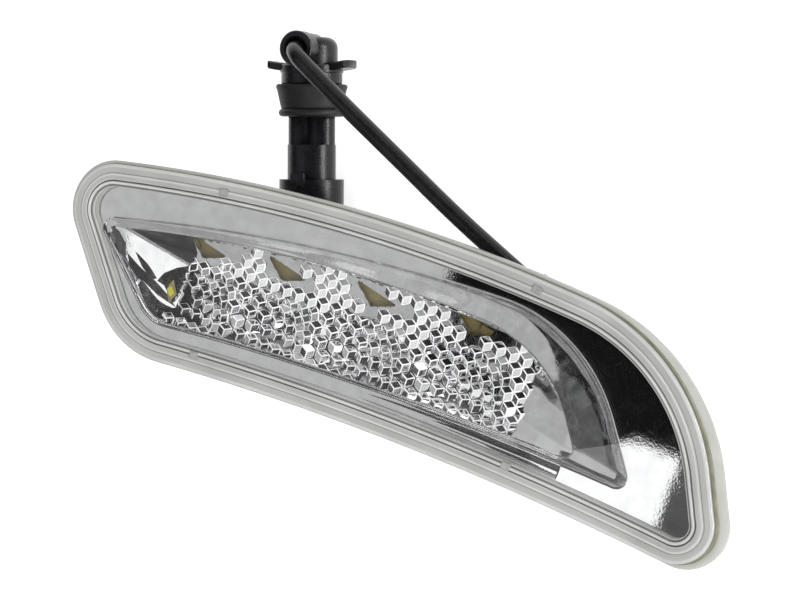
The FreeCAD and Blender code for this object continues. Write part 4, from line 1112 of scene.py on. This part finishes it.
@dataclass
class SealedPlug:
    """Two-pole plug: collar, body with two lobes, bead ring, conical seal and an elbow with wings."""

    mouth_place: Place = (-54.35, 30.25)
    mouth_r: float = 11.9
    floor_gap: float = 0.1
    turn: float = math.radians(18.3)
    tilt: float = math.radians(4.0)
    body_top: float = 32.4
    ring_top: float = 35.3
    cone_top: float = 44.2
    neck_top: float = 48.5
    wing_top: float = 51.3
    cap_length: float = 10.0
    outlet_place: float = 5.4
    outlet_reach: float = 14.6
    outlet_depth: float = 5.0
    stem_r: float = 6.4
    neck_r: float = 11.2
    ledge_r: float = 11.6
    cap_r: float = 9.5
    cap_round: float = 4.0
    outlet_r: float = 6.0
    outlet_lip_r: float = 6.4
    outlet_bore_r: float = 4.0
    seal_bore_r: float = 6.45
    bead_r: float = 10.65
    bead_turn: float = 1.45
    wing_half: float = 16.1
    wing_wide: float = 6.5
    wing_thick: float = 2.8
    wing_curl: float = 1.6
    wing_round: float = 2.5
    wing_edge: float = 0.5
    wing_steps: int = 33
    soft_edge: float = 0.35
    crease_angle: float = 38.0
    around: int = 64

    def __post_init__(self) -> None:
        """Works out the plug's own axes: sideways, up and from the mouth to the elbow."""
        way = np.array([-math.sin(self.turn) * math.cos(self.tilt), math.cos(self.turn) * math.cos(self.tilt),
                        math.sin(self.tilt)])
        up = np.array([0.0, 0.0, 1.0]) - way * way[2]
        up /= np.linalg.norm(up)
        self.axes = np.stack([np.cross(up, way), up, way])
        self.mouth = np.array([*self.mouth_place, self.mouth_r * math.cos(self.tilt) + self.floor_gap])

    def placed(self, points: np.ndarray) -> np.ndarray:
        """Points of the plug's own frame, in the part's frame."""
        return self.mouth + np.asarray(points, float) @ self.axes

    def turned(self, section: Sequence[tuple[float, float]], upright: bool = False,
               foot: Point = (0.0, 0.0, 0.0)) -> tuple[np.ndarray, list[list[int]]]:
        """A body of revolution in the plug's frame.

        Args:
            section: radius and place along the axis; the section closes on itself unless it ends at the axis.
            upright: whether the axis points up rather than along the plug.
            foot: where the axis starts.

        Returns:
            Its points and faces.
        """
        angles = np.linspace(0, 2 * math.pi, self.around, endpoint=False)
        points = []
        for radius, place in section:
            level = np.full(self.around, place)
            ring = np.column_stack([radius * np.cos(angles), radius * np.sin(angles), level])
            points.append(ring[:, [0, 2, 1]] * (1, 1, -1) if upright else ring)
        flat = np.concatenate(points) + np.array(foot)
        solid = section[0][0] == 0.0 and section[-1][0] == 0.0
        return flat, loft_faces(len(section), self.around, Ends.OPEN if solid else Ends.JOINED)

    def whole(self, name: str, look: Look,
              shells: Sequence[tuple[np.ndarray, list[list[int]]]]) -> bpy.types.Object:
        """One object of several shells in the plug's frame."""
        points, faces, base = [], [], 0
        for shell, shell_faces in shells:
            points.append(self.placed(shell))
            faces += [[number + base for number in face] for face in shell_faces]
            base += len(shell)
        return piece_from(name, np.concatenate(points), faces, [look], None, self.crease_angle)

    def elbow(self) -> bpy.types.Object:
        """The elbow: stem, neck, curved wings, rounded cap and the cable outlet."""
        top, base, neck, ledge = self.wing_top + self.cap_length, self.body_top, self.neck_r, self.ledge_r
        stem = [(0.0, base), (self.stem_r, base), (self.stem_r, self.cone_top), (neck - 0.4, self.cone_top),
                (neck, self.cone_top + 0.4), (neck, self.neck_top - 0.3), (ledge, self.neck_top),
                (ledge, self.wing_top - 0.4), (ledge - 0.4, self.wing_top), (self.cap_r, self.wing_top),
                (self.cap_r, top - self.cap_round)]
        stem += [(self.cap_r + self.cap_round * (math.cos(a) - 1), top + self.cap_round * (math.sin(a) - 1))
                 for a in np.linspace(0.15, math.pi / 2, 8)]
        stem.append((0.0, top))
        reach, tube, lip, bore = self.outlet_reach, self.outlet_r, self.outlet_lip_r, self.outlet_bore_r
        floor = reach - self.outlet_depth
        outlet = [(0.0, 0.0), (tube, 0.0), (tube, reach - 6.6), (lip, reach - 6.2), (lip, reach - 0.5),
                  (lip - 0.45, reach), (bore + 0.5, reach), (bore, reach - 0.45), (bore, floor), (0.0, floor)]
        foot = (0.0, 0.0, self.wing_top + self.outlet_place)
        return self.whole("elbow_moulding", Look.MOULD,
                          [self.turned(stem), self.turned(outlet, True, foot), self.wings()])

    def wings(self) -> tuple[np.ndarray, list[list[int]]]:
        """The two wings as one plate with rounded ends, bent slightly towards the cable's side."""
        half, thick, edge, bend = self.wing_half, self.wing_thick, self.wing_edge, self.wing_round
        points = []
        for x in np.linspace(-half, half, self.wing_steps):
            room = 1 - (max(0.0, abs(x) - (half - bend)) / bend) ** 2
            reach = self.wing_wide - bend + bend * math.sqrt(max(0.0, room))
            lift = self.neck_top + self.wing_curl * (x / half) ** 2
            flat, top = reach - edge, thick - edge
            profile = [(-reach, edge), (-flat, 0), (flat, 0), (reach, edge), (reach, top), (flat, thick),
                       (-flat, thick), (-reach, top)]
            points += [(x, y, z + lift) for y, z in profile]
        return np.array(points), loft_faces(self.wing_steps, len(profile), Ends.CAPPED)

    def seal(self) -> bpy.types.Object:
        """The conical rubber seal with its rolled upper lip."""
        low, top, bore = self.ring_top, self.cone_top, self.seal_bore_r
        section = [(bore, low), (11.0, low), (11.3, low + 0.3), (11.5, low + 1.2), (12.7, top - 2.2),
                   (13.05, top - 1.4), (13.1, top - 0.7), (12.9, top - 0.25), (12.4, top), (bore, top)]
        return self.whole("plug_seal_cone", Look.RUBBER, [self.turned(section)])

    def bead(self) -> bpy.types.Object:
        """The bead ring below the seal."""
        low, top, bore, shoulder = self.body_top, self.ring_top, self.seal_bore_r, self.bead_r - 0.25
        middle, half = (low + top) / 2, (top - low) / 2
        section = [(bore, low), (shoulder, low)]
        section += [(self.bead_r + half * math.cos(a), middle + half * math.sin(a))
                    for a in np.linspace(-self.bead_turn, self.bead_turn, 13)]
        section += [(shoulder, top), (bore, top)]
        return self.whole("plug_bead_ring", Look.RUBBER, [self.turned(section)])

    def build(self) -> list[bpy.types.Object]:
        """Makes the plug's pieces."""
        made = [settle(self.elbow(), "black_mould", "plug_elbow"),
                settle(self.seal(), "black_rubber", "plug_seal"),
                settle(self.bead(), "black_rubber", "seal_ring")]
        for node in ("plug_body", "plug_collar"):
            softened = softened_copy(node, f"{node}_moulding", Look.MOULD, self.soft_edge)
            made.append(settle(softened, "black_mould", node))
        return made


# The cable

@dataclass
class LampCable:
    """Round two-core cable from the lamp's gland up to the plug's outlet."""

    diameter: float = 6.1
    length: float = 135.8
    route: tuple[Point, ...] = (
        (45.0, 31.5, 23.4), (26.5, 38.9, 26.4), (6.0, 47.3, 29.8), (-20.1, 59.3, 33.2),
        (-46.0, 70.9, 36.2), (-63.1, 78.7, 36.3), (-66.0, 80.0, 36.3), (-68.6, 81.3, 35.1),
        (-70.7, 82.3, 33.0), (-71.8, 83.0, 30.1), (-71.9, 83.2, 26.9), (-71.9, 83.3, 25.6))

    def build(self, plug: Sequence[bpy.types.Object]) -> None:
        """Makes the cable."""
        curve = bpy.data.curves.new("cable_run", "CURVE")
        curve.dimensions = "3D"
        line = curve.splines.new("NURBS")
        line.points.add(len(self.route) - 1)
        for point, place in zip(line.points, self.route):
            point.co = (*(c * MM for c in place), 1.0)
        line.order_u = 3
        line.use_endpoint_u = True
        line.resolution_u = 16
        curve.bevel_depth = self.diameter / 2 * MM
        curve.bevel_resolution = 8
        curve.use_fill_caps = True
        curve.materials.append(Look.SHEATH.material)
        cable = settle(linked("cable_run", curve), "black_rubber", "cable")


# The housing and what is carried over from the frame

@dataclass
class RearHousing:
    """Rear tray with its grooved lip, and the small pieces on it."""

    edge: float = 0.5
    carried: tuple[tuple[str, Look], ...] = (
        ("lens_seal", Look.SEALANT), ("led_board", Look.BOARD), ("leds", Look.PHOSPHOR),
        ("driver_chip", Look.MOULD), ("resistors", Look.MOULD), ("capacitor", Look.STEEL),
        ("board_screws", Look.ZINC), ("vent_cap", Look.RUBBER), ("cable_gland", Look.RUBBER),
        ("supply_leads", Look.SLEEVE), ("terminals", Look.BRASS))

    def build(self) -> None:
        """Makes the tray and dresses the nodes that stay as they are."""
        settle(softened_copy("housing", "housing_tray", Look.HOUSING, self.edge), "housing_grey", "housing")
        for node, look in self.carried:
            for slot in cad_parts[node].material_slots:
                slot.material = look.material
            LOG.info("%s: carried over", node)


# The studio

@dataclass(frozen=True)
class Card:
    """A flat card that only reflections see: its name, its brightness, 1 for white, and its corners, mm."""

    name: str
    level: float
    corners: tuple[Point, ...]

    @classmethod
    def overhead(cls, name: str, level: float, low: Place, high: Place, height: float) -> "Card":
        """A level card over the lamp, from one corner to the other."""
        (x1, y1), (x2, y2) = low, high
        return cls(name, level, ((x1, y1, height), (x2, y1, height), (x2, y2, height), (x1, y2, height)))

    def build(self) -> None:
        """Sets the card up."""
        mesh = bpy.data.meshes.new(self.name)
        mesh.from_pydata([tuple(c * MM for c in corner) for corner in self.corners], [],
                         [tuple(range(len(self.corners)))])
        shader = Shader(self.name)
        glow = shader.node("ShaderNodeEmission")
        glow.inputs["Strength"].default_value = self.level
        shader.join(glow.outputs["Emission"], shader.output.inputs["Surface"])
        mesh.materials.append(shader.material)
        made = linked(self.name, mesh)
        made.visible_camera = made.visible_diffuse = made.visible_shadow = False


GLINT_HALF, GLINT_WIDE, GLINT_STEPS = 38.0, 4.0, (0.0, 8.0, 14.0)
GLINT_PLACES = ((-240.0, -412.0), (-198.0, -336.0), (-131.0, -366.0))
CARDS = (
    Card.overhead("card_ceiling", 0.018, (-1500.0, -900.0), (900.0, 1100.0), 450.0),
    Card.overhead("card_grey", 0.54, (-600.0, -225.0), (-122.0, 90.0), 445.0),
    Card.overhead("card_pale", 0.65, (-122.0, -150.0), (-40.0, -71.0), 443.0),
    Card.overhead("card_wedge", 0.36, (-337.0, -430.0), (-205.0, -225.0), 441.0),
    Card.overhead("card_shelf", 0.5, (-205.0, -430.0), (-90.0, -225.0), 441.0),
    Card.overhead("card_crest", 0.55, (-337.0, -895.0), (-60.0, -430.0), 441.0),
    Card.overhead("card_hollow", 0.11, (-700.0, -500.0), (-337.0, -327.0), 443.0),
    Card.overhead("card_panel", 0.22, (-700.0, -327.0), (-337.0, -225.0), 443.0),
    *(Card.overhead(f"card_glint_{number}_{step:.0f}", 0.95, (x + step, y - GLINT_HALF),
                    (x + step + GLINT_WIDE, y + GLINT_HALF), 439.0)
      for number, (x, y) in enumerate(GLINT_PLACES) for step in GLINT_STEPS),
    Card("card_black", 0.008, ((-122.0, -70.0, 440.0), (-20.0, -88.0, 440.0), (46.0, -49.5, 440.0),
                               (46.0, 90.0, 440.0), (-122.0, 90.0, 440.0))),
    Card.overhead("card_white", 1.2, (-40.0, -420.0), (38.0, -70.0), 442.0),
    Card.overhead("card_side", 0.10, (38.0, -300.0), (110.0, -40.0), 442.0),
    Card.overhead("card_key", 1.1, (110.0, -700.0), (700.0, -140.0), 442.0),
    Card.overhead("card_top", 0.012, (-900.0, 130.0), (400.0, 1090.0), 446.0),
    Card("card_left", 0.08, ((-1300.0, -900.0, 0.0), (-1300.0, 300.0, 0.0), (-1300.0, 300.0, 440.0),
                             (-1300.0, -900.0, 440.0))),
    Card("card_front", 0.3, ((-1300.0, -950.0, 0.0), (100.0, -950.0, 0.0), (100.0, -950.0, 700.0),
                             (-1300.0, -950.0, 700.0))),
    Card("card_strip", 24.0, ((550.0, 704.0, 218.0), (562.0, 715.0, 118.0), (810.0, -45.0, 62.0),
                              (798.0, -56.0, 162.0))),
    Card("card_cable", 2.5, ((598.0, 335.0, 316.0), (568.0, 275.0, 372.0), (-342.0, 673.0, 480.0),
                             (-312.0, 733.0, 424.0))))


@dataclass
class Studio:
    """Camera, white floor, soft lamps and reflection cards."""

    target: Point = (0.75, 13.9, 40.0)
    eye: Point = (220.9, 104.4, 644.9)
    right: Point = (0.87300, 0.32240, -0.36597)
    up: Point = (-0.35095, 0.93632, -0.01231)
    back: Point = (0.33869, 0.13917, 0.93055)
    lens: float = 84.6
    sensor: float = 36.0
    clip: Place = (10.0, 100000.0)
    ambient: float = 0.42
    floor_half: float = 6000.0
    floor_level: float = -0.2
    floor_paint: float = 0.6
    floor_lift: float = 0.84
    lamp_size: float = 700.0
    lamps: tuple[tuple[str, Point, float], ...] = (
        ("key_lamp", (-500.0, 700.0, 1100.0), 5.5), ("fill_lamp", (800.0, -300.0, 900.0), 9.5))

    def camera(self) -> None:
        """Sets the camera at the photograph's viewing angle."""
        made = bpy.data.cameras.new("camera")
        made.lens, made.sensor_width, made.sensor_fit = self.lens, self.sensor, "HORIZONTAL"
        made.clip_start, made.clip_end = (reach * MM for reach in self.clip)
        holder = linked("camera", made)
        rows = [[r, u, b, e * MM] for r, u, b, e in zip(self.right, self.up, self.back, self.eye)]
        holder.matrix_world = Matrix(rows + [[0, 0, 0, 1]])
        bpy.context.scene.camera = holder

    @staticmethod
    def _seen(tree: bpy.types.NodeTree) -> bpy.types.NodeSocket:
        """A value of 1 for camera, glossy and transmission rays."""
        light = tree.nodes.new("ShaderNodeLightPath")
        both = tree.nodes.new("ShaderNodeMath")
        either = tree.nodes.new("ShaderNodeMath")
        both.operation = either.operation = "MAXIMUM"
        tree.links.new(light.outputs["Is Camera Ray"], both.inputs[0])
        tree.links.new(light.outputs["Is Glossy Ray"], both.inputs[1])
        tree.links.new(both.outputs[0], either.inputs[0])
        tree.links.new(light.outputs["Is Transmission Ray"], either.inputs[1])
        return either.outputs[0]

    def world(self) -> None:
        """White surroundings that light the lamp less than they show."""
        world = bpy.data.worlds.new("surroundings")
        bpy.context.scene.world = world
        world.use_nodes = True
        tree = world.node_tree
        tree.nodes.clear()
        out, sky = tree.nodes.new("ShaderNodeOutputWorld"), tree.nodes.new("ShaderNodeBackground")
        span = tree.nodes.new("ShaderNodeMapRange")
        span.inputs["To Min"].default_value, span.inputs["To Max"].default_value = self.ambient, 1.0
        tree.links.new(self._seen(tree), span.inputs["Value"])
        tree.links.new(span.outputs["Result"], sky.inputs["Strength"])
        tree.links.new(sky.outputs["Background"], out.inputs["Surface"])
        sky.inputs["Color"].default_value = (1.0, 1.0, 1.0, 1.0)

    def floor(self) -> None:
        """A white floor that keeps the lamp's shadow."""
        mesh = bpy.data.meshes.new("floor")
        half, level = self.floor_half * MM, self.floor_level * MM
        corners = [(-half, -half, level), (half, -half, level), (half, half, level), (-half, half, level)]
        mesh.from_pydata(corners, [], [(0, 1, 2, 3)])
        shader = Shader("floor_white")
        paint = shader.node("ShaderNodeBsdfDiffuse")
        paint.inputs["Color"].default_value = (*(self.floor_paint,) * 3, 1.0)
        glow, total = shader.node("ShaderNodeEmission"), shader.node("ShaderNodeAddShader")
        span = shader.node("ShaderNodeMapRange")
        span.inputs["To Max"].default_value = self.floor_lift
        shader.join(self._seen(shader.tree), span.inputs["Value"])
        shader.join(span.outputs["Result"], glow.inputs["Strength"])
        shader.join(paint.outputs["BSDF"], total.inputs[0])
        shader.join(glow.outputs["Emission"], total.inputs[1])
        shader.join(total.outputs["Shader"], shader.output.inputs["Surface"])
        mesh.materials.append(shader.material)
        linked("floor", mesh)

    def lamp(self, name: str, place: Point, power: float) -> None:
        """A soft square lamp that looks at the marker lamp."""
        made = bpy.data.lights.new(name, "AREA")
        made.shape, made.size, made.energy = "SQUARE", self.lamp_size * MM, power
        way = Vector(self.target) - Vector(place)
        turn = way.to_track_quat("-Z", "Y").to_matrix().to_4x4()
        linked(name, made).matrix_world = Matrix.Translation(Vector(place) * MM) @ turn

    def build(self) -> None:
        """Sets up everything round the lamp."""
        bpy.context.scene.view_settings.view_transform = "Standard"
        self.world()
        self.floor()
        for card in CARDS:
            card.build()
        for lamp in self.lamps:
            self.lamp(*lamp)


def main() -> None:
    """Builds the lamp's looks around the frame."""
    logging.basicConfig(level=logging.INFO, format="%(message)s")
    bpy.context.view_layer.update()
    studio = Studio()
    studio.camera()
    plug = SealedPlug().build()
    LampCable().build(plug + [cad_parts["terminals"]])
    RearHousing().build()
    LampLens().build()
    ChromeBezel().build()
    FacetReflector().build()
    studio.build()


if __name__ == "__main__":
    main()
